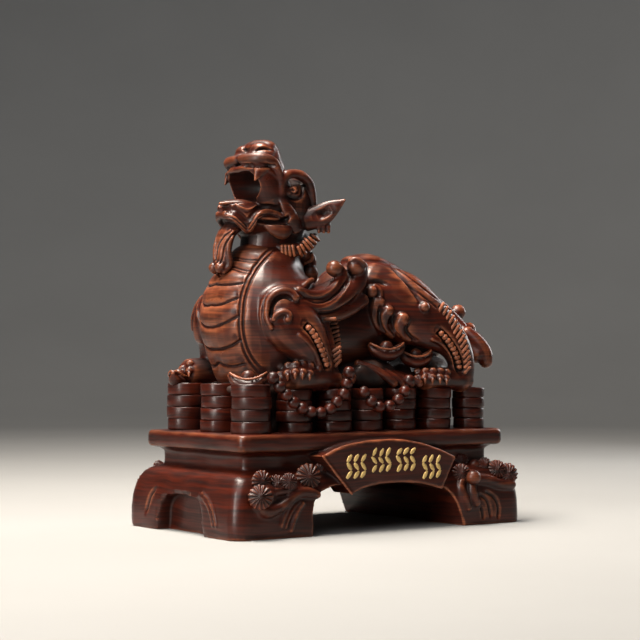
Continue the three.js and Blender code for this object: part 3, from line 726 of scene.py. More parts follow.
def skull_and_muzzle(clay):
    ball(clay, (-22, 0, 133), (11.5, 13.2, 13.5), sides=32, rings=24)
    bar(clay, [
        (-28, 0, 133, 12.6, 10), (-32, 0, 142, 13.2, 8.4), (-33.5, 0, 149, 13.2, 7.8),
        (-33, 0, 153.5, 11, 6.5),
    ], sides=28, rings=30)
    for side in (NEAR, FAR):
        bar(clay, [
            (-32, 6 * side, 136, 7, 8), (-36, 6 * side, 143, 7.4, 7.6), (-37.2, 6 * side, 149, 7.2, 6.8),
            (-35, 5.4 * side, 153.5, 6, 5),
        ], sides=24, rings=30)
    ball(clay, (-34, 0, 156.4), (5.4, 10.2, 3.4), sides=24)
    for side in (NEAR, FAR):
        ball(clay, (-37.3, 5.6 * side, 154.8), (4, 5, 3.2), sides=20)
    bar(clay, [(-26, 0, 110, 12.5, 11), (-25, 0, 118, 11.5, 11), (-24, 0, 126, 11, 11)], sides=28)
    bar(clay, [(-31, 0, 124, 11, 9), (-32.5, 0, 114, 10.5, 9), (-32, 0, 104, 12, 10)], sides=28)
    ball(clay, (-18, 0, 117), (8, 9.6, 9), sides=32, rings=20)


def jaw(clay):
    bar(clay, [(-22, 0, 124, 12.6, 8), (-34, 0, 125.5, 12.4, 7), (-43, 0, 127.6, 11, 6),
        (-47.5, 0, 130, 8.6, 5)],
        sides=28, rings=30)


def lips(clay):
    roll = [
        (-31.5, -12.6, 140, 0.9, 0.9), (-33, -13.4, 145, 1.6, 1.6), (-36, -13.6, 149.2, 2.1, 1.9),
        (-41, -12, 150.6, 2.4, 2.2), (-43.6, -7.5, 150.5, 2.5, 2.2), (-43.8, -2.5, 151, 2.1, 1.9),
    ]
    whole = roll + [(-43.2, 0, 151.6, 1.6, 1.5)] + sided(roll[::-1], FAR)
    bar(clay, whole, sideways=(0, 0, 1), sides=16, rings=70)


def open_mouth(head):
    """Cuts the mouth, open to the front between closed cheeks, and then the dip over the lower lip."""
    for centre, radii in MOUTH_HOLLOWS:
        cavity = bmesh.new()
        ball(cavity, centre, radii, sides=48, rings=32)
        hollow(head, cavity)


def inside_the_mouth(clay):
    """A pointed tongue, the gum line of the upper lip and a fang at each corner of it."""
    bar(clay, [
        (-33, 0, 129.5, 8, 3), (-39, 0, 131, 8, 3), (-45, -0.6, 132.4, 6.4, 2.4), (-50, -1, 132.6, 3.6, 1.4),
        (-54, -1.4, 132.4, 0.8, 0.6),
    ], sides=20, rings=36)
    gum = [(-34, -12.4, 143.5), (-38.5, -12.2, 146.2), (-43, -9, 147), (-44.2, -4, 147.2)]
    cord(clay, gum + [(-44.2, 0, 147)] + sided(gum[::-1], FAR), 1.3, sideways=(0, 0, 1), rings=50)
    for side in (NEAR, FAR):
        bar(clay, sided([
            (-40.6, -11.6, 147.6, 4, 1.6), (-41.6, -11.6, 145.4, 2.5, 1.3),
            (-43.6, -11.4, 141.6, 0.35, 0.35),
        ], side), sideways=(1, 0.5 * side, 0))


def face(clay, side):
    """Eye, brow, cheek folds, ear and neck curl of one side of the head."""
    ball(clay, *sided([(-25.6, -12.7, 138.8)], side), 1.75, sides=24, rings=16)
    bar(clay, sided([
        (-31, -12, 134.5, 1.5, 1.3), (-31.4, -12.2, 140.5, 2.3, 1.9), (-29.6, -12.4, 144, 2.6, 2.2),
        (-26, -12.4, 145.2, 2, 1.9), (-21.5, -12, 144.8, 2.3, 2.1), (-17, -11.4, 142, 2.1, 2),
        (-14.8, -10.8, 136.5, 1.8, 1.7), (-14, -10.6, 132, 1.4, 1.3),
    ], side), rings=48, sides=18)
    ear = [
        (-18, -10.5, 126.5, 3, 4.6), (-13.4, -14.6, 128.6, 2.2, 4.8), (-10, -17.8, 131.4, 1.5, 3.6),
        (-6.4, -22.2, 134.8, 0.45, 0.5),
    ]
    bar(clay, sided(ear, side), sideways=(0.7, -0.7 * side, 0), rings=40, sides=20)
    bar(clay, sided([
        (-32.2, -12.2, 136, 1.1, 0.9), (-30, -13.4, 131.8, 2.4, 1.5), (-27, -13.9, 126.8, 2.9, 1.8),
        (-24.2, -13.2, 122, 2.3, 1.4),
    ], side), sideways=(0.8, 0, 0.6), rings=40, sides=18)
    bar(clay, sided([
        (-38.5, -10.4, 124.2, 0.9, 0.8), (-35, -12.2, 122, 2.3, 1.8), (-31, -13.2, 121, 3, 2.1),
        (-27.4, -13.2, 122.8, 1.6, 1.2),
    ], side), sideways=(0, 0, 1), rings=34, sides=18)
    for k in range(3):
        x, y = -14.2 + 1.9 * k, -14.4 - 0.7 * k
        cord(clay, sided([(x - 1.2, y + 0.6, 127), (x, y, 124.8), (x + 0.2, y, 121.8)], side), 1.3, 0.8)
    bar(clay, sided([
        (-33, -8.5, 115, 1.2, 1.6), (-29.5, -11.4, 114, 1.8, 2.7), (-23, -12.6, 114.4, 1.9, 2.8),
        (-17, -12, 117, 1.9, 2.8), (-12.2, -9.4, 120, 1.3, 2),
    ], side), sideways=(0, 1, 0), rings=36)
    for x, y, z in ((-17, -7.5, 113.5), (-13.8, -6.5, 110), (-14, -8, 104.5)):
        ball(clay, *sided([(x, y, z)], side), (3.4, 3.6, 4.4))


def beard(clay):
    bar(clay, [
        (-45.5, 0, 124.5, 4.4, 3.2), (-50, 0, 120, 5.4, 3), (-52, 0, 113.5, 5.4, 3),
        (-52.5, 0, 107.5, 4.6, 2.8),
    ], rings=36)
    for side in (NEAR, FAR):
        ball(clay, (-54.4, 2.4 * side, 106.4), 2.3)
        cord(clay, [
            (-50, 4.2 * side, 121), (-52, 4.8 * side, 114), (-51.5, 4.6 * side, 107),
            (-53.5, 3.6 * side, 104.8),
        ], 1.5, 1.1)


def lower_lip(clay, skin, side):
    """The lip of the lower jaw: a broad wavy fold, and over it a thin line that ends in a curl."""
    cord(clay, skin.drawn(LIP_WAVE, side, 0.6, step=2), 1.5, 1.0, rings=60, sides=14)
    cord(clay, skin.drawn(LIP_RIM, side, 0.1, step=2), 0.75, 0.5, rings=40)


def carve_head(skin):
    """Evens the corners of the mouth, then sinks the lines of lips, nose, beard, ear and eye."""
    for centre, radius in MOUTH_CORNERS:
        for side in (NEAR, FAR):
            skin.soften(np.array(sided([centre], side)[0]), radius)
    for side in (NEAR, FAR):
        skin.line(skin.drawn(UPPER_LIP_GROOVE, side), 1.2, 1.0)
        skin.line(skin.drawn(NOSTRIL, side, step=1.5), 1.1, 1.8, reach=3, fade=0.4)
        skin.line(skin.drawn(NOSE_CLEFT, side), 1.0, 1.1)
        skin.line(skin.drawn(LIP_BAND, side), 1.6, 0.9, fade=0.2)
        skin.line(skin.drawn(JAW_GAP, side), 1.5, 1.5)
        skin.line(skin.drawn(LIP_WAVE_GROOVE, side), 0.5, 0.55)
        for strand in BEARD_STRANDS:
            skin.line(skin.drawn(strand, side), 0.7, 0.8, reach=2.5)
        skin.line(skin.drawn(EAR_HOLLOW, side, step=1), 2.3, 2.2, kind="bowl", reach=3, fade=0.5)
        skin.line(skin.drawn(EYE_SOCKET, side, step=1.5), 1.5, 1.0, reach=2.5, fade=0.3)
        skin.line(skin.drawn(PUPIL, side, step=0.6), 1.0, 1.3, reach=2, fade=0)


def ruff(clay, skin, side):
    """Short ribs side by side, where the head meets the neck."""
    for start, end in RUFF_RIBS:
        middle = ((start[0] + end[0]) / 2, (start[1] + end[1]) / 2)
        rows = skin.drawn([start, middle, end], side, 0.25, step=2)
        if len(rows) > 2:
            cord(clay, rows, 0.75, sides=8, rings=12)


def make_head():
    clay = bmesh.new()
    skull_and_muzzle(clay)
    jaw(clay)
    piece = fuse(piece_from(clay, "pixiu_head"), 0.5, 1)
    open_mouth(piece)
    skin = Skin(piece)
    clay = bmesh.new()
    for side in (NEAR, FAR):
        lower_lip(clay, skin, side)
    lips(clay)
    inside_the_mouth(clay)
    beard(clay)
    for side in (NEAR, FAR):
        face(clay, side)
    add_clay(piece, clay)
    fuse(piece, 0.32, 3)
    skin = Skin(piece)
    carve_head(skin)
    skin.write()
    thin_out(piece, HEAD_TRIANGLES)
    skin = Skin(piece)
    clay = bmesh.new()
    for side in (NEAR, FAR):
        ruff(clay, skin, side)
        for curl in NECK_CURLS:
            cord(clay, skin.drawn(curl, side, 0.2, step=1.5), 1.0, 0.7)
    return add_clay(piece, clay)


# The coins, beads and treasure under the beast.

NEAR_STACKS = [(-54.7, 7.9), (-34, 7.1), (-14.5, 7), (1.9, 6.8), (19.4, 6.8), (37.3, 7.2), (56.3, 6.8)]
FAR_STACKS = [(-53.8, 7.5)] + NEAR_STACKS[1:]
NEAR_STACK_ROW, FAR_STACK_ROW = -25.8, 25.8
LEFT_RISE = 2.2
END_STACKS = [(-53.5, -1), (54.8, 0)]
BEAD_LOOPS = [
    [(-50, 62), (-46.5, 58), (-40, 52), (-34, 49), (-29, 47.8), (-23.5, 49.2), (-19, 52.5), (-15, 57),
     (-13.5, 64)],
    [(-6, 56), (-1, 51), (4.5, 49.5), (9.7, 51.7), (14.5, 55.5), (17.5, 60.5)],
]
BEAD_FACE = -34.6
HEAP_BOX = (100, 42, 15.6)
# The balls of the heap: centre, radii, sides and rings.
HEAP_BALLS = [
    ((-32, 0, 57), (25, 24, 4.5), 32, 16), ((19, 0, 60), (31, 26, 14), 40, 24),
    ((42, -2, 61), (15, 20, 11.5), 32, 20), ((50, 0, 63), (10, 18, 9), 32, 20),
    ((-10, 22, 60), (17, 11, 10), 32, 16), ((8, -22, 63), (12, 6, 6), 24, 16),
]
# The ingots: x, y, z, half length and heading.
INGOTS = [
    (-55.5, -25, 60.4, 7.3, -0.62), (12.8, -25, 72.4, 7.4, -0.35), (28, -25.5, 69.4, 6.8, -0.35),
    (8, 24.5, 67, 7, 0.2), (-57, 26, 61, 7, 0.7),
]


def coin(clay, centre, radius, thickness):
    """One thick coin with rounded rims, lying a little askew."""
    lean = Matrix.Rotation(math.radians(rng.normal(0, 0.8)), 4, (rng.normal(), rng.normal(), 0.01))
    place = Matrix.Translation(centre) @ lean @ Matrix.Rotation(rng.uniform(0, 6), 4, "Z")
    made = bmesh.ops.create_cone(
        clay, cap_ends=True, segments=56, radius1=radius, radius2=radius, depth=thickness, matrix=place,
    )["verts"]
    rims = [edge for edge in {edge for vertex in made for edge in vertex.link_edges}
            if any(len(face.verts) > 4 for face in edge.link_faces)]
    bmesh.ops.bevel(
        clay, geom=rims, offset=COIN_ROUNDING, affect="EDGES", segments=3, profile=0.5, material=-1,
    )


def stack(clay, x, y, radius, top):
    """A pile of coins, each slipped a little aside, so thick that they just run into one another."""
    thickness = (top - SLAB_TOP) / COINS_IN_STACK + 0.06
    for k in range(COINS_IN_STACK):
        slip = rng.normal(0, 0.22, 2)
        centre = (x + slip[0], y + slip[1], top - (top - SLAB_TOP) / COINS_IN_STACK * (k + 0.5))
        coin(clay, centre, radius + rng.normal(0, 0.12), thickness)


def make_coins():
    clay = bmesh.new()
    for row, stacks in ((NEAR_STACK_ROW, NEAR_STACKS), (FAR_STACK_ROW, FAR_STACKS)):
        for x, radius in stacks:
            stack(clay, x, row, radius, COIN_TOP + LEFT_RISE * (x < -40))
    for x, y in END_STACKS:
        stack(clay, x, y, COIN_RADIUS, COIN_TOP + LEFT_RISE * (x < -40))
    piece = piece_from(clay, "coin_stacks")
    worn_by_hand(piece, 0.3, size=4)
    return piece


def worn_by_hand(piece, amount, size=5.0):
    """Uneven swells all over a piece's skin, as cast and worn carving has."""
    mesh = piece.data
    at, out = points_of(mesh), normals_of(mesh)
    swell = [noise.noise(Vector(place) / size) for place in at.tolist()]
    moved = at + out * (np.array(swell) * amount)[:, None]
    mesh.vertices.foreach_set("co", moved.astype(np.float32).ravel())
    mesh.update()


def make_heap():
    """The closed heap that fills the space between the stacks and carries the beast's belly."""
    clay = bmesh.new()
    box = Matrix.Translation((0, 0, SLAB_TOP + 7.6)) @ Matrix.Diagonal((*HEAP_BOX, 1))
    bmesh.ops.create_cube(clay, size=1, matrix=box)
    for centre, radii, sides, rings in HEAP_BALLS:
        ball(clay, centre, radii, sides=sides, rings=rings)
    piece = fuse(piece_from(clay, "heap"), 0.8, 3)
    worn_by_hand(piece, 0.8)
    return piece


def ingot(clay, x, y, z, half, heading):
    """A boat-shaped ingot: hull, raised rim and the round knob in its middle."""
    turn = Matrix.Translation((x, y, z)) @ Matrix.Rotation(heading, 4, "Z")
    deep = half * 0.52
    hull = bar(clay, [
        (-half, 0, 2.6, 1.0, 0.9), (-half * 0.72, 0, 0.1, deep * 0.75, 1.9), (0, 0, -1.6, deep, 2.5),
        (half * 0.72, 0, 0.1, deep * 0.75, 1.9), (half, 0, 2.6, 1.0, 0.9),
    ], sides=20, rings=24)
    rim = []
    for t in np.linspace(0, 2 * math.pi, 33):
        share = math.cos(t)
        rim.append((half * share, deep * math.sin(t), 1.0 + 2.6 * share**2))
    edge = cord(clay, rim, 0.55, sides=8, rings=60)
    knob = ball(clay, (0, 0, 1.4), (half * 0.42, half * 0.36, half * 0.44))
    bmesh.ops.transform(clay, matrix=turn, verts=hull + edge + knob)


def make_treasure():
    """Ingots and bars under the beast, and a curl in front of each foreleg."""
    clay = bmesh.new()
    for x, y, z, half, heading in INGOTS:
        ingot(clay, x, y, z, half, heading)
    for i in range(4):
        rows = [(5 * i, -22, 67.5 - i), (7 + 5 * i, -27, 64.4 - i), (13 + 4.4 * i, -30.5, 59)]
        cord(clay, rows, 1.7, sides=12)
    cord(clay, [(-13, -27, 60), (-10.5, -29, 63.4), (-7.5, -29.4, 62), (-8.6, -29.6, 60)], 1.3)
    cord(clay, [(-14, 27, 60), (-11, 29, 63.4), (-8, 29.4, 62), (-8.6, 29.6, 60)], 1.3)
    return fuse(piece_from(clay, "treasure"), 0.35, 2)


def make_beads():
    """Two strings of beads on each long side, each on its thread."""
    clay = bmesh.new()
    for side in (NEAR, FAR):
        for loop in BEAD_LOOPS:
            rows = [(x, BEAD_FACE, z) for x, z in loop]
            length = np.linalg.norm(np.diff(smooth_route(rows, 60), axis=0), axis=1).sum()
            count = int(length / (BEAD_RADIUS * 1.82)) + 1
            cord(clay, sided(rows, side), THREAD_RADIUS, sides=8, rings=30)
            for place in smooth_route(rows, count):
                place = place + (0, 0.25 * rng.normal(), 0)
                ball(clay, *sided([tuple(place)], side), BEAD_RADIUS, sides=20, rings=14)
    return piece_from(clay, "bead_strings")


# The plinth.

FRONT_ARCH = [
    (-36, -3), (-36.2, 6), (-35.6, 12), (-33, 16), (-27, 18.6), (-17, 19.8), (-4, 20.2), (10, 20),
    (22, 18.8),
    (31, 16), (35.5, 11.5), (38.5, 5), (41.5, -3),
]
END_HOLLOW_HALF, END_HOLLOW_TOP, END_HOLLOW_DEPTH = 17, 15, 6.5
APRON = [
    (0.97, 0), (0.99, 0.05), (1, 0.13), (1, 0.24), (0.985, 0.36), (0.95, 0.48), (0.9, 0.58), (0.83, 0.69),
    (0.74, 0.78), (0.62, 0.86), (0.45, 0.915), (0.25, 0.945), (0.08, 0.96), (0, 0.97),
]
SLAB_EDGE = [
    (2.4, 0), (1.1, 0.02), (0.4, 0.09), (0.1, 0.22), (0, 0.4), (0.1, 0.5), (0, 0.6), (0.1, 0.8), (0.5, 0.93),
    (1.2, 0.98), (2.4, 1),
]
PANEL_OUTLINE = [
    (-31.8, 31.2), (-23.2, 34.5), (-13.9, 36.3), (-3.9, 37), (6.1, 36.9), (16.6, 35.4), (27.1, 32.4),
    (36, 28.8),
    (28.7, 15.8), (19.2, 18.1), (11.4, 19.1), (4.8, 19.4), (-3.9, 19.1), (-11.4, 17.8), (-17.6, 15.6),
]
PANEL_LEFT_BORDER = [(-31.8, 31.2), (-25, 23.6), (-17.6, 15.6)]
FLORETS = [
    (261.5, 481, 4.4), (260.5, 497, 4.9), (277, 484, 3.8), (289, 481, 3.4), (321, 470, 3.4),
    (308, 476.5, 5.4),
    (461, 460.5, 3.2), (460.5, 473, 4.2), (484, 465, 3.6), (496, 469, 4.2), (507, 473.5, 4.8),
]
FLORET_BUTTONS = [(473, 477, 3.2), (474, 464, 2.2)]
BOUGHS = [
    [(256, 505, 1.4), (266, 511, 2.6), (278, 508, 2.6), (287, 502, 2), (296, 494, 1.9), (306, 492, 1.9),
     (318, 495, 2.2), (328, 500, 2.2), (336, 497, 2.2), (338, 489, 1.6)],
    [(274, 492, 2), (284, 490, 2), (296, 488, 1.6)],
    [(472, 474, 2.4), (471, 484, 2.2), (472, 495, 2.4), (476, 503, 1.8)],
    [(476, 478, 2.2), (488, 480, 2.4), (500, 484, 2.2), (511, 484, 2.2)],
    [(462, 479, 1.6), (460, 486, 2), (463, 496, 2), (468, 508, 1.6)],
]
BOUGH_BACKINGS = [((328, 489), 4.2), ((266, 494), 5.4), ((290, 484), 4.6)]
FOOT_RIDGES = [
    ([(296, 498), (290, 505), (285, 514), (281.5, 526)], 0.75),
    ([(300, 500), (294, 507), (289, 516), (285.5, 527)], 0.75),
    ([(302.5, 503), (298, 510), (294, 520), (291, 530)], 1.0),
]
FOOT_GROOVES = [
    [(479, 494), (486, 499), (489, 508), (490, 517)], [(485, 491), (494, 497), (498, 507), (497, 518)],
    [(478, 503), (482, 510), (483, 518)],
]
END_RIDGES = [
    [(200, 494), (206, 501), (210.5, 511), (213, 525)], [(203, 493), (209, 500), (213.5, 510), (216.5, 525)],
]
END_GROOVE = [(157, 487), (151.5, 494), (148.5, 503), (146, 513)]
GOLD_GROUPS = [(356.5, 466), (381.5, 460), (406, 459), (431.5, 466.5)]
GOLD_COLUMN, GOLD_ROW, GOLD_SLANTS = 3.5, 3.2, (52, -52, 52)
MOULDING_SEGMENTS, FLORET_RIDGES = 200, 15


def level_ring(share, half_x, half_y, corner, z):
    """One place on a rounded rectangle, a share of the way round it."""
    straight_x, straight_y, arc = 2 * (half_x - corner), 2 * (half_y - corner), corner * math.pi / 2
    run = share * (2 * straight_x + 2 * straight_y + 4 * arc)
    for quarter, (straight, middle) in enumerate((
        (straight_y, (half_x - corner, half_y - corner)), (straight_x, (corner - half_x, half_y - corner)),
        (straight_y, (corner - half_x, corner - half_y)), (straight_x, (half_x - corner, corner - half_y)),
    )):
        heading = math.pi / 2 * quarter
        if run <= straight:
            back = straight - run
            return (middle[0] + corner * math.cos(heading) + back * math.sin(heading),
                    middle[1] + corner * math.sin(heading) - back * math.cos(heading), z)
        run -= straight
        if run <= arc:
            turn = heading + run / corner
            return (middle[0] + corner * math.cos(turn), middle[1] + corner * math.sin(turn), z)
        run -= arc
    return (half_x, corner - half_y, z)


def moulding(clay, levels):
    """A closed solid of rounded rectangles, one above the other: half x, half y, corner, height."""
    ring = bmesh.ops.create_circle(clay, cap_ends=True, segments=MOULDING_SEGMENTS, radius=1)["verts"]
    made = list(ring)
    for k, vertex in enumerate(ring):
        vertex.co = level_ring(k / MOULDING_SEGMENTS, *levels[0])
    edges = [edge for edge in clay.edges if edge.verts[0] in ring and edge.verts[1] in ring]
    for level in levels[1:]:
        grown = bmesh.ops.extrude_edge_only(clay, edges=edges)["geom"]
        ring = [part for part in grown if isinstance(part, bmesh.types.BMVert)]
        edges = [part for part in grown if isinstance(part, bmesh.types.BMEdge)]
        below = {}
        for edge in {edge for vertex in ring for edge in vertex.link_edges}:
            low = edge.other_vert(edge.verts[0]) if edge.verts[0] in ring else edge.verts[0]
            high = edge.verts[0] if edge.verts[0] in ring else edge.verts[1]
            if low not in ring:
                below[high] = low
        order = {vertex: k for k, vertex in enumerate(made[-MOULDING_SEGMENTS:])}
        ring.sort(key=lambda vertex: order[below[vertex]])
        for k, vertex in enumerate(ring):
            vertex.co = level_ring(k / MOULDING_SEGMENTS, *level)
        made += ring
    bmesh.ops.contextual_create(clay, geom=edges)
    bmesh.ops.recalc_face_normals(clay, faces=list({face for vertex in made for face in vertex.link_faces}))


def plate(clay, outline, y_from, y_to):
    """An upright plate of a given outline in x and z, from one y to another."""
    ring = bmesh.ops.create_circle(clay, cap_ends=True, segments=len(outline), radius=1)["verts"]
    for vertex, (x, z) in zip(ring, outline):
        vertex.co = (x, y_from, z)
    face = ring[0].link_faces[0]
    grown = bmesh.ops.extrude_face_region(clay, geom=[face])["geom"]
    moved = [part for part in grown if isinstance(part, bmesh.types.BMVert)]
    bmesh.ops.translate(clay, verts=moved, vec=(0, y_to - y_from, 0))
    faces = list({face for vertex in ring + moved for face in vertex.link_faces})
    bmesh.ops.recalc_face_normals(clay, faces=faces)
    bmesh.ops.triangulate(clay, faces=faces, ngon_method="EAR_CLIP")
    return ring + moved


def rounded(rows, count):
    """The outline as a smooth curve of so many points."""
    return [(x, z) for x, z, _ in smooth_route([(x, z, 0) for x, z in rows], count)]


def plinth_solids(clay):
    """The apron with the neck over it, the step under the slab, and the slab with its moulded edge."""
    spread_x, spread_y = FOOT_HALF_LENGTH - NECK_HALF_LENGTH, FOOT_HALF_WIDTH - NECK_HALF_WIDTH
    levels = [
        (NECK_HALF_LENGTH + spread_x * out, NECK_HALF_WIDTH + spread_y * out,
         NECK_CORNER + (FOOT_CORNER - NECK_CORNER) * out, APRON_HEIGHT * up)
        for out, up in APRON
    ]
    moulding(clay, levels + [(NECK_HALF_LENGTH, NECK_HALF_WIDTH, NECK_CORNER, SLAB_TOP - 2)])
    under_slab = SLAB_TOP - SLAB_THICKNESS
    moulding(clay, [
        (NECK_HALF_LENGTH + grown, NECK_HALF_WIDTH + grown, NECK_CORNER, height)
        for grown, height in (
            (0, under_slab - 1.6), (1.6, under_slab - 0.4), (2, under_slab + 1), (2, SLAB_TOP - 2),
        )
    ])
    moulding(clay, [
        (SLAB_HALF_LENGTH - inward, SLAB_HALF_WIDTH - inward, SLAB_CORNER + 1 - inward * 0.4,
         SLAB_TOP - SLAB_THICKNESS * (1 - up))
        for inward, up in SLAB_EDGE
    ])


def plinth_panel(clay, side):
    """The fan-shaped panel of one long side, with a border along its edge at the beast's head end."""
    face = PANEL_FACE * side
    outline = rounded(PANEL_OUTLINE[:8], 24) + rounded(PANEL_OUTLINE[8:], 24)
    plate(clay, outline, NECK_HALF_WIDTH * side - side * 2, face)
    border = [(x, face, z) for x, z in rounded(PANEL_LEFT_BORDER, 8)]
    cord(clay, border, 0.55)


def plinth_carving(clay, skin):
    """Boughs and ridges on both long sides, and the ridges at both ends."""
    for side in (NEAR, FAR):
        for pixel, radius in BOUGH_BACKINGS:
            for place in skin.drawn([pixel], side, -0.45 * radius):
                ball(clay, place, radius)
        for bough in BOUGHS:
            rows = skin.drawn([pixel[:2] for pixel in bough], side, 0.2)
            shares = np.linspace(0, 1, len(rows))
            radii = np.interp(shares, np.linspace(0, 1, len(bough)), [row[2] for row in bough])
            places = [(*row, radius, radius * 0.9) for row, radius in zip(rows, radii)]
            bar(clay, places, sideways=(0, 0, 1), rings=36)
        for ridge, radius in FOOT_RIDGES:
            cord(clay, skin.drawn(ridge, side, 0.1), radius)
    for ridge in END_RIDGES:
        rows = skin.drawn(ridge, NEAR, 0.1)
        cord(clay, rows, 0.7)
        cord(clay, half_turned(rows), 0.7)


def half_turned(rows):
    """Rows of the -X end moved round to the +X end."""
    return [(-row[0], -row[1], row[2]) for row in rows]


def arch_hollows(clay):
    """The opening through the plinth from one long side to the other."""
    outline = rounded(FRONT_ARCH, 40)
    plate(clay, outline, -FOOT_HALF_WIDTH - 4, FOOT_HALF_WIDTH + 4)


def end_hollow_rim(count):
    """The outline of the arch at one end, as places with y and z."""
    half, top = END_HOLLOW_HALF, END_HOLLOW_TOP
    return rounded([
        (-half - 1.5, -3), (-half, 4), (-half + 1, 10), (-half + 5, top - 1), (0, top),
        (half - 5, top - 1), (half - 1, 10), (half, 4), (half + 1.5, -3),
    ], count)


def end_hollows(clay):
    """The shallow closed arches at both ends."""
    for end in (-1, 1):
        deep = (FOOT_HALF_LENGTH - END_HOLLOW_DEPTH) * end
        made = plate(clay, end_hollow_rim(30), -deep, -(FOOT_HALF_LENGTH + 4) * end)
        bmesh.ops.rotate(clay, verts=made, cent=(0, 0, 0), matrix=Matrix.Rotation(math.pi / 2, 3, "Z"))


def floret(clay, centre, radius, face):
    """A pine floret: a low dome with ridges from its button to its rim."""
    to_face = Vector(face).to_track_quat("Z", "Y").to_matrix().to_4x4()
    made = bmesh.ops.create_uvsphere(clay, u_segments=FLORET_RIDGES * 4, v_segments=14, radius=1)["verts"]
    for vertex in made:
        out = math.hypot(vertex.co.x, vertex.co.y)
        turn = math.atan2(vertex.co.y, vertex.co.x)
        ripple = math.cos(FLORET_RIDGES * turn) * 0.5 + 0.5
        rise = 0.42 * (1 - out**2) if vertex.co.z > 0 else -1.2 * (1 - out**2)
        if vertex.co.z > 0:
            button, dip = 0.3 * max(0, 1 - (out / 0.24) ** 2), 0.14 * (0.24 < out < 0.38)
            rise += 0.2 * ripple * min(out * 2, 1) + button - dip
        reach = radius * (1 - 0.06 * (1 - ripple) * out)
        vertex.co = Vector((vertex.co.x * reach, vertex.co.y * reach, rise * radius * 0.8))
    bmesh.ops.transform(clay, matrix=Matrix.Translation(centre) @ to_face, verts=made)


def make_plinth():
    clay = bmesh.new()
    plinth_solids(clay)
    piece = fuse(piece_from(clay, "plinth_body"), 0.6, 0)
    for cutter in (arch_hollows, end_hollows):
        clay = bmesh.new()
        cutter(clay)
        hollow(piece, clay)
    clay = bmesh.new()
    for side in (NEAR, FAR):
        plinth_panel(clay, side)
    add_clay(piece, clay)
    clay = bmesh.new()
    plinth_carving(clay, Skin(piece))
    add_clay(piece, clay)
    fuse(piece, 0.5, 2)
    skin = Skin(piece)
    for side in (NEAR, FAR):
        for groove in FOOT_GROOVES:
            skin.line(skin.drawn(groove, side), 1.1, 1.0)
    rows = skin.drawn(END_GROOVE, NEAR)
    skin.line(rows, 1.5, 1.2, fade=0.3)
    skin.line(half_turned(rows), 1.5, 1.2, fade=0.3)
    for y, z in end_hollow_rim(15):
        for end in (-1, 1):
            if z > 1:
                skin.soften(np.array((end * (FOOT_HALF_LENGTH - 0.5), y, z)), 4.5, rounds=16)
    skin.write()
    worn_by_hand(piece, 0.22, size=9)
    return thin_out(piece, PLINTH_TRIANGLES)


def make_florets(plinth):
    """Pine florets where the camera sees them on the apron, and the same on the far side."""
    skin, clay = Skin(plinth), bmesh.new()
    for u, v, radius in FLORETS + FLORET_BUTTONS:
        for place in skin.drawn([(u, v)], NEAR, 0.45 * radius):
            centre = tuple(at_depth_of((u, v), place))
            for side in (NEAR, FAR):
                if (u, v, radius) in FLORETS:
                    face = (rng.normal(-0.35, 0.1), side, rng.normal(0.12, 0.08))
                    floret(clay, *sided([centre], side), radius, face)
                else:
                    ball(clay, *sided([centre], side), radius, sides=20, rings=14)
    return piece_from(clay, "pine_florets")


def make_gold_strokes():
    """Four groups of slanted dabs in place of the inscription. They are strokes alone, no letters."""
    clay = bmesh.new()
    for group in GOLD_GROUPS:
        middle = on_plane(group, -PANEL_FACE)
        for row in range(3):
            slant = math.radians(GOLD_SLANTS[row] + rng.normal(0, 5))
            for column in range(3):
                half = rng.uniform(1.55, 1.85)
                x = middle[0] + (column - 1) * GOLD_COLUMN + rng.normal(0, 0.15)
                z = middle[2] + (row - 1) * GOLD_ROW + rng.normal(0, 0.15)
                rise = (half * math.cos(slant), half * math.sin(slant))
                bar(clay, [
                    (x - rise[0], -PANEL_FACE, z - rise[1], 0.25, 0.55),
                    (x, -PANEL_FACE, z, 0.38, 0.95),
                    (x + rise[0], -PANEL_FACE, z + rise[1], 0.22, 0.5),
                ], sides=10, rings=12)
    return piece_from(clay, "gold_strokes")


# Finishes.

FINE_GRAIN, BROAD_GRAIN = (42, 42, 1050), (16, 16, 330)
# The wood's own colour, the dark of its grain that also paints shade into hollows, and the ridge colour, a
# painted highlight mixed with worn lacquer.
WOOD, DARK_GRAIN_AND_SHADE, RIDGE_HIGHLIGHT_AND_WEAR = (0.056, 0.0075, 0.0026), (0.004, 0.001, 0.0007), (0.5, 0.16, 0.07)
FIGURE_GLOSS, PLINTH_GLOSS = 0.3, 0.33


def group_node(name, inputs, outputs):
    """A new shader node group with named sockets: (name, kind, value)."""
    tree = bpy.data.node_groups.new(name, "ShaderNodeTree")
    for label, kind, value in inputs:
        socket = tree.interface.new_socket(label, in_out="INPUT", socket_type="NodeSocket" + kind)
        socket.default_value = value
    for label, kind in outputs:
        tree.interface.new_socket(label, in_out="OUTPUT", socket_type="NodeSocket" + kind)
    return tree, tree.nodes.new("NodeGroupInput"), tree.nodes.new("NodeGroupOutput")


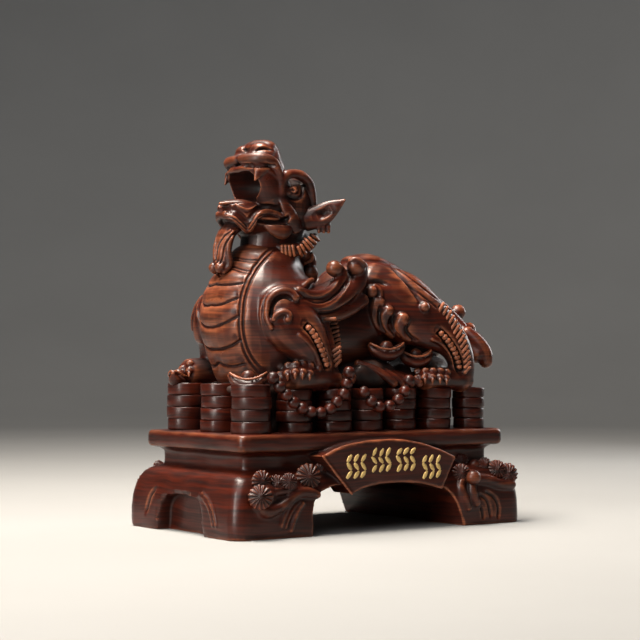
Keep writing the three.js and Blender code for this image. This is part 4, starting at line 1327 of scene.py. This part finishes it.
class Nodes:
    """Short calls that add nodes to a tree and link them."""

    def __init__(self, tree):
        self.tree = tree

    def link(self, value, socket):
        if isinstance(value, bpy.types.NodeSocket):
            self.tree.links.new(value, socket)
        else:
            socket.default_value = value

    def math(self, kind, one, other, clamp=False):
        node = self.tree.nodes.new("ShaderNodeMath")
        node.operation, node.use_clamp = kind, clamp
        self.link(one, node.inputs[0])
        self.link(other, node.inputs[1])
        return node.outputs[0]

    def blend(self, share, one, other):
        node = self.tree.nodes.new("ShaderNodeMix")
        node.data_type = "RGBA"
        self.link(share, node.inputs["Factor"])
        self.link(one, node.inputs[6])
        self.link(other, node.inputs[7])
        return node.outputs[2]

    def spread(self, value, low, high, to_low=0.0, to_high=1.0):
        node = self.tree.nodes.new("ShaderNodeMapRange")
        for socket, given in zip(node.inputs, (value, low, high, to_low, to_high)):
            self.link(given, socket)
        return node.outputs[0]

    def noise(self, place, scale, detail, rough=0.55):
        node = self.tree.nodes.new("ShaderNodeTexNoise")
        self.link(place, node.inputs["Vector"])
        self.link(scale, node.inputs["Scale"])
        self.link(detail, node.inputs["Detail"])
        self.link(rough, node.inputs["Roughness"])
        return node.outputs["Fac"]

    def stretched(self, place, scale):
        node = self.tree.nodes.new("ShaderNodeMapping")
        self.link(place, node.inputs["Vector"])
        node.inputs["Scale"].default_value = scale
        return node.outputs["Vector"]

    def attribute(self, name):
        node = self.tree.nodes.new("ShaderNodeAttribute")
        node.attribute_name = name
        return node.outputs["Fac"]

    def object_place(self):
        return self.tree.nodes.new("ShaderNodeTexCoord").outputs["Object"]

    def bump(self, height, strength, distance):
        node = self.tree.nodes.new("ShaderNodeBump")
        node.inputs["Strength"].default_value = strength
        node.inputs["Distance"].default_value = distance
        self.link(height, node.inputs["Height"])
        return node.outputs["Normal"]


def wood_grain_group():
    """Fine streaks that run level round the carving, as cut wood shows, and broader light and dark bands."""
    tree, given, result = group_node(
        "wood_grain", [("Place", "Vector", (0, 0, 0))], [("Streaks", "Float"), ("Bands", "Float")],
    )
    nodes = Nodes(tree)
    place = given.outputs["Place"]
    drift = nodes.noise(nodes.stretched(place, (40, 40, 60)), 1.0, 2.0)
    add = tree.nodes.new("ShaderNodeVectorMath")
    add.operation = "MULTIPLY_ADD"
    nodes.link(drift, add.inputs[0])
    add.inputs[1].default_value = (0, 0, 0.004)
    nodes.link(place, add.inputs[2])
    waved = add.outputs[0]
    fine = nodes.noise(nodes.stretched(waved, FINE_GRAIN), 1.0, 2.0, 0.5)
    broad = nodes.noise(nodes.stretched(waved, BROAD_GRAIN), 1.0, 2.0, 0.4)
    nodes.link(nodes.spread(fine, 0.36, 0.66), result.inputs["Streaks"])
    nodes.link(nodes.spread(broad, 0.35, 0.68), result.inputs["Bands"])
    return tree


def lacquer_group():
    """Colour of stained, lacquered carving: dark in the grain, darkened with painted shade in the hollows
    and creases, and brighter on ridges with a painted highlight and worn lacquer.
    """
    tree, given, result = group_node("carving_grain_shade_and_highlight", [
        ("Wood", "Color", (0.1, 0.02, 0.01, 1)), ("Stain", "Color", (0.02, 0.005, 0.004, 1)),
        ("Rubbed", "Color", (0.4, 0.12, 0.05, 1)), ("Streaks", "Float", 0.5), ("Bands", "Float", 0.5),
        ("Recess", "Float", 0.0), ("Raised", "Float", 0.0),
    ], [("Color", "Color"), ("Depth", "Float")])
    nodes = Nodes(tree)
    get = given.outputs
    grained = nodes.blend(nodes.math("MULTIPLY", get["Streaks"], 0.75), get["Wood"], get["Stain"])
    grained = nodes.blend(nodes.math("MULTIPLY", get["Bands"], 0.45), grained, get["Stain"])
    # Ridges take a painted highlight mixed with worn lacquer, weaker in the dark streaks of the grain.
    ridges, worn = nodes.spread(get["Raised"], 0.25, 1.0), nodes.spread(get["Streaks"], 0, 1, 1, 0.45)
    ridge_highlight_and_wear = nodes.math("MULTIPLY", ridges, worn)
    warmed = nodes.blend(nodes.math("MULTIPLY", ridge_highlight_and_wear, 0.55), grained, get["Rubbed"])
    # Hollows and creases are darkened towards the grain's dark colour: painted shade.
    deep = nodes.spread(get["Recess"], 0.18, 0.75)
    nodes.link(nodes.blend(deep, warmed, get["Stain"]), result.inputs["Color"])
    nodes.link(deep, result.inputs["Depth"])
    return tree


def new_material(name):
    material = bpy.data.materials.new(name)
    material.use_nodes = True
    return material, Nodes(material.node_tree), material.node_tree.nodes["Principled BSDF"]


def placed(nodes, tree, **values):
    node = nodes.tree.nodes.new("ShaderNodeGroup")
    node.node_tree = tree
    for label, value in values.items():
        nodes.link(value, node.inputs[label])
    return node.outputs


def lacquered(name, grain, carving, gloss):
    """Lacquered red-brown carving. Gloss is its least roughness where it isn't worn."""
    material, nodes, shader = new_material(name)
    place = nodes.object_place()
    lines = placed(nodes, grain, Place=place)
    # The colour holds painted shade in hollows and a painted highlight on ridges.
    look = placed(
        nodes, carving, Wood=(*WOOD, 1), Stain=(*DARK_GRAIN_AND_SHADE, 1), Rubbed=(*RIDGE_HIGHLIGHT_AND_WEAR, 1), Streaks=lines["Streaks"],
        Bands=lines["Bands"], Recess=nodes.attribute("painted_shade"), Raised=nodes.attribute("raised"),
    )
    nodes.link(look["Color"], shader.inputs["Base Color"])
    worn = nodes.spread(nodes.noise(place, 90.0, 4.0), 0.3, 0.7, gloss - 0.05, gloss + 0.1)
    dull = nodes.math("ADD", worn, nodes.math("MULTIPLY", look["Depth"], 0.3), clamp=True)
    streaked = nodes.math("ADD", dull, nodes.math("MULTIPLY", lines["Streaks"], 0.08))
    nodes.link(streaked, shader.inputs["Roughness"])
    pores = nodes.bump(nodes.math("MULTIPLY", lines["Streaks"], -1.0), 0.25, 0.00006)
    nodes.link(pores, shader.inputs["Normal"])
    shader.inputs["Specular IOR Level"].default_value = 0.24
    shader.inputs["Coat Weight"].default_value = 0.1
    shader.inputs["Coat Roughness"].default_value = 0.2
    return material


def gold_paint():
    material, nodes, shader = new_material("pale_gold_paint")
    place = nodes.object_place()
    worn = nodes.noise(place, 1200.0, 3.0)
    nodes.link(nodes.blend(nodes.spread(worn, 0.45, 0.7), (0.62, 0.43, 0.16, 1), (0.42, 0.26, 0.08, 1)),
               shader.inputs["Base Color"])
    nodes.link(nodes.spread(worn, 0.3, 0.7, 0.32, 0.5), shader.inputs["Roughness"])
    shader.inputs["Metallic"].default_value = 0.35
    return material


def pale_floor():
    material, nodes, shader = new_material("pale_floor")
    tone = nodes.noise(nodes.object_place(), 6.0, 4.0)
    pale = nodes.blend(tone, (0.22, 0.218, 0.213, 1), (0.25, 0.248, 0.242, 1))
    nodes.link(pale, shader.inputs["Base Color"])
    shader.inputs["Roughness"].default_value = 0.75
    shader.inputs["Specular IOR Level"].default_value = 0.2
    return material


def finish_piece(piece, node, slot, material, **relief):
    """Gives a piece its attributes for painted shade and painted highlight, metres, material and place in
    the frame.
    """
    note_relief(piece, **relief)
    piece.data.transform(Matrix.Scale(MM, 4))
    piece.data.shade_smooth()
    piece.data.materials.clear()
    piece.data.materials.append(material)
    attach(piece, "root")
    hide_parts(node)


FLOOR_RADIUS, FLOOR_CURVE = 1.1, 1.0


def make_camera():
    """The camera of the photograph, level before it is turned by its axis' offset in the picture."""
    aim = -BACK * FOCAL_PX + RIGHT * (PICTURE_PX / 2 - AXIS_PX[0]) + UP * (AXIS_PX[1] - PICTURE_PX / 2)
    camera = bpy.data.cameras.new("camera")
    camera.sensor_width = 36
    camera.lens = FOCAL_PX / PICTURE_PX * camera.sensor_width
    camera.clip_start, camera.clip_end = 0.01, 20
    holder = bpy.data.objects.new("camera", camera)
    holder.location = EYE * MM
    holder.rotation_mode = "QUATERNION"
    holder.rotation_quaternion = Vector(aim).to_track_quat("-Z", "Y")
    bpy.context.scene.collection.objects.link(holder)
    bpy.context.scene.camera = holder


def make_floor():
    """A round pale floor that curves up far behind, so no edge shows."""
    clay = bmesh.new()
    bmesh.ops.create_circle(clay, cap_ends=True, segments=96, radius=FLOOR_RADIUS)
    edges = list(clay.edges)
    for turn in np.linspace(0, math.pi / 2, 13)[1:]:
        grown = bmesh.ops.extrude_edge_only(clay, edges=edges)["geom"]
        edges = [part for part in grown if isinstance(part, bmesh.types.BMEdge)]
        rim = [part for part in grown if isinstance(part, bmesh.types.BMVert)]
        reach = FLOOR_RADIUS + FLOOR_CURVE * math.sin(turn)
        for vertex in rim:
            heading = math.atan2(vertex.co.y, vertex.co.x)
            rise = FLOOR_CURVE * (1 - math.cos(turn))
            vertex.co = (reach * math.cos(heading), reach * math.sin(heading), rise)
    bmesh.ops.recalc_face_normals(clay, faces=clay.faces[:])
    bmesh.ops.reverse_faces(clay, faces=clay.faces[:])
    floor = piece_from(clay, "floor")
    floor.data.shade_smooth()
    floor.data.materials.append(pale_floor())


def softbox(name, place, target, size, power, warmth=(1, 1, 1)):
    light = bpy.data.lights.new(name, "AREA")
    light.shape = "RECTANGLE"
    light.size, light.size_y = size
    light.energy = power
    light.color = warmth
    holder = bpy.data.objects.new(name, light)
    holder.location = place
    holder.rotation_mode = "QUATERNION"
    holder.rotation_quaternion = (Vector(target) - Vector(place)).to_track_quat("-Z", "Y")
    bpy.context.scene.collection.objects.link(holder)


def make_lights():
    softbox("top_light", (-0.12, 0.06, 0.62), (0, 0, 0.1), (0.4, 0.25), 16, (1, 0.92, 0.82))
    softbox("left_light", (-0.65, -0.16, 0.26), (0, 0, 0.09), (0.14, 0.45), 4.6, (1, 0.96, 0.9))
    softbox("right_light", (0.6, 0.1, 0.3), (0, 0, 0.09), (0.1, 0.4), 1.6)
    sun = bpy.data.lights.new("front_light", "SUN")
    sun.energy, sun.angle = 0.9, math.radians(40)
    holder = bpy.data.objects.new("front_light", sun)
    holder.rotation_euler = (math.radians(48), 0, math.radians(-52))
    bpy.context.scene.collection.objects.link(holder)
    world = bpy.data.worlds.new("studio")
    world.use_nodes = True
    world.node_tree.nodes["Background"].inputs["Color"].default_value = (0.82, 0.83, 0.85, 1)
    world.node_tree.nodes["Background"].inputs["Strength"].default_value = 0.06
    bpy.context.scene.world = world
    bpy.context.scene.view_settings.view_transform = "Standard"


grain, carving = wood_grain_group(), lacquer_group()
figure_finish = lacquered("figure_lacquer", grain, carving, FIGURE_GLOSS)
plinth_finish = lacquered("plinth_lacquer", grain, carving, PLINTH_GLOSS)

# How far painted shade and painted highlight reach on each piece: the head's long reach paints shade deep in
# the mouth and under the chin, and the heap under the belly gets painted shade all over.
for piece, relief in (
    (make_body(), {"reach": 9, "height": 0.18}), (make_head(), {"reach": 14, "spread": 8, "height": 0.16}),
    (make_treasure(), {}), (make_heap(), {"least_painted_shade": 0.7}),
):
    finish_piece(piece, "pixiu_on_coins", "lacquered_figure", figure_finish, **relief)
for piece in (make_coins(), make_beads()):
    finish_piece(piece, "pixiu_on_coins", "lacquered_figure", figure_finish, spread=1, height=0.9)
plinth = make_plinth()
florets = make_florets(plinth)
finish_piece(plinth, "plinth", "lacquered_plinth", plinth_finish, height=0.16)
finish_piece(florets, "plinth", "lacquered_plinth", plinth_finish, spread=2, height=0.25)
finish_piece(make_gold_strokes(), "plinth", "lacquered_plinth", gold_paint(), spread=1)

make_camera()
make_floor()
make_lights()
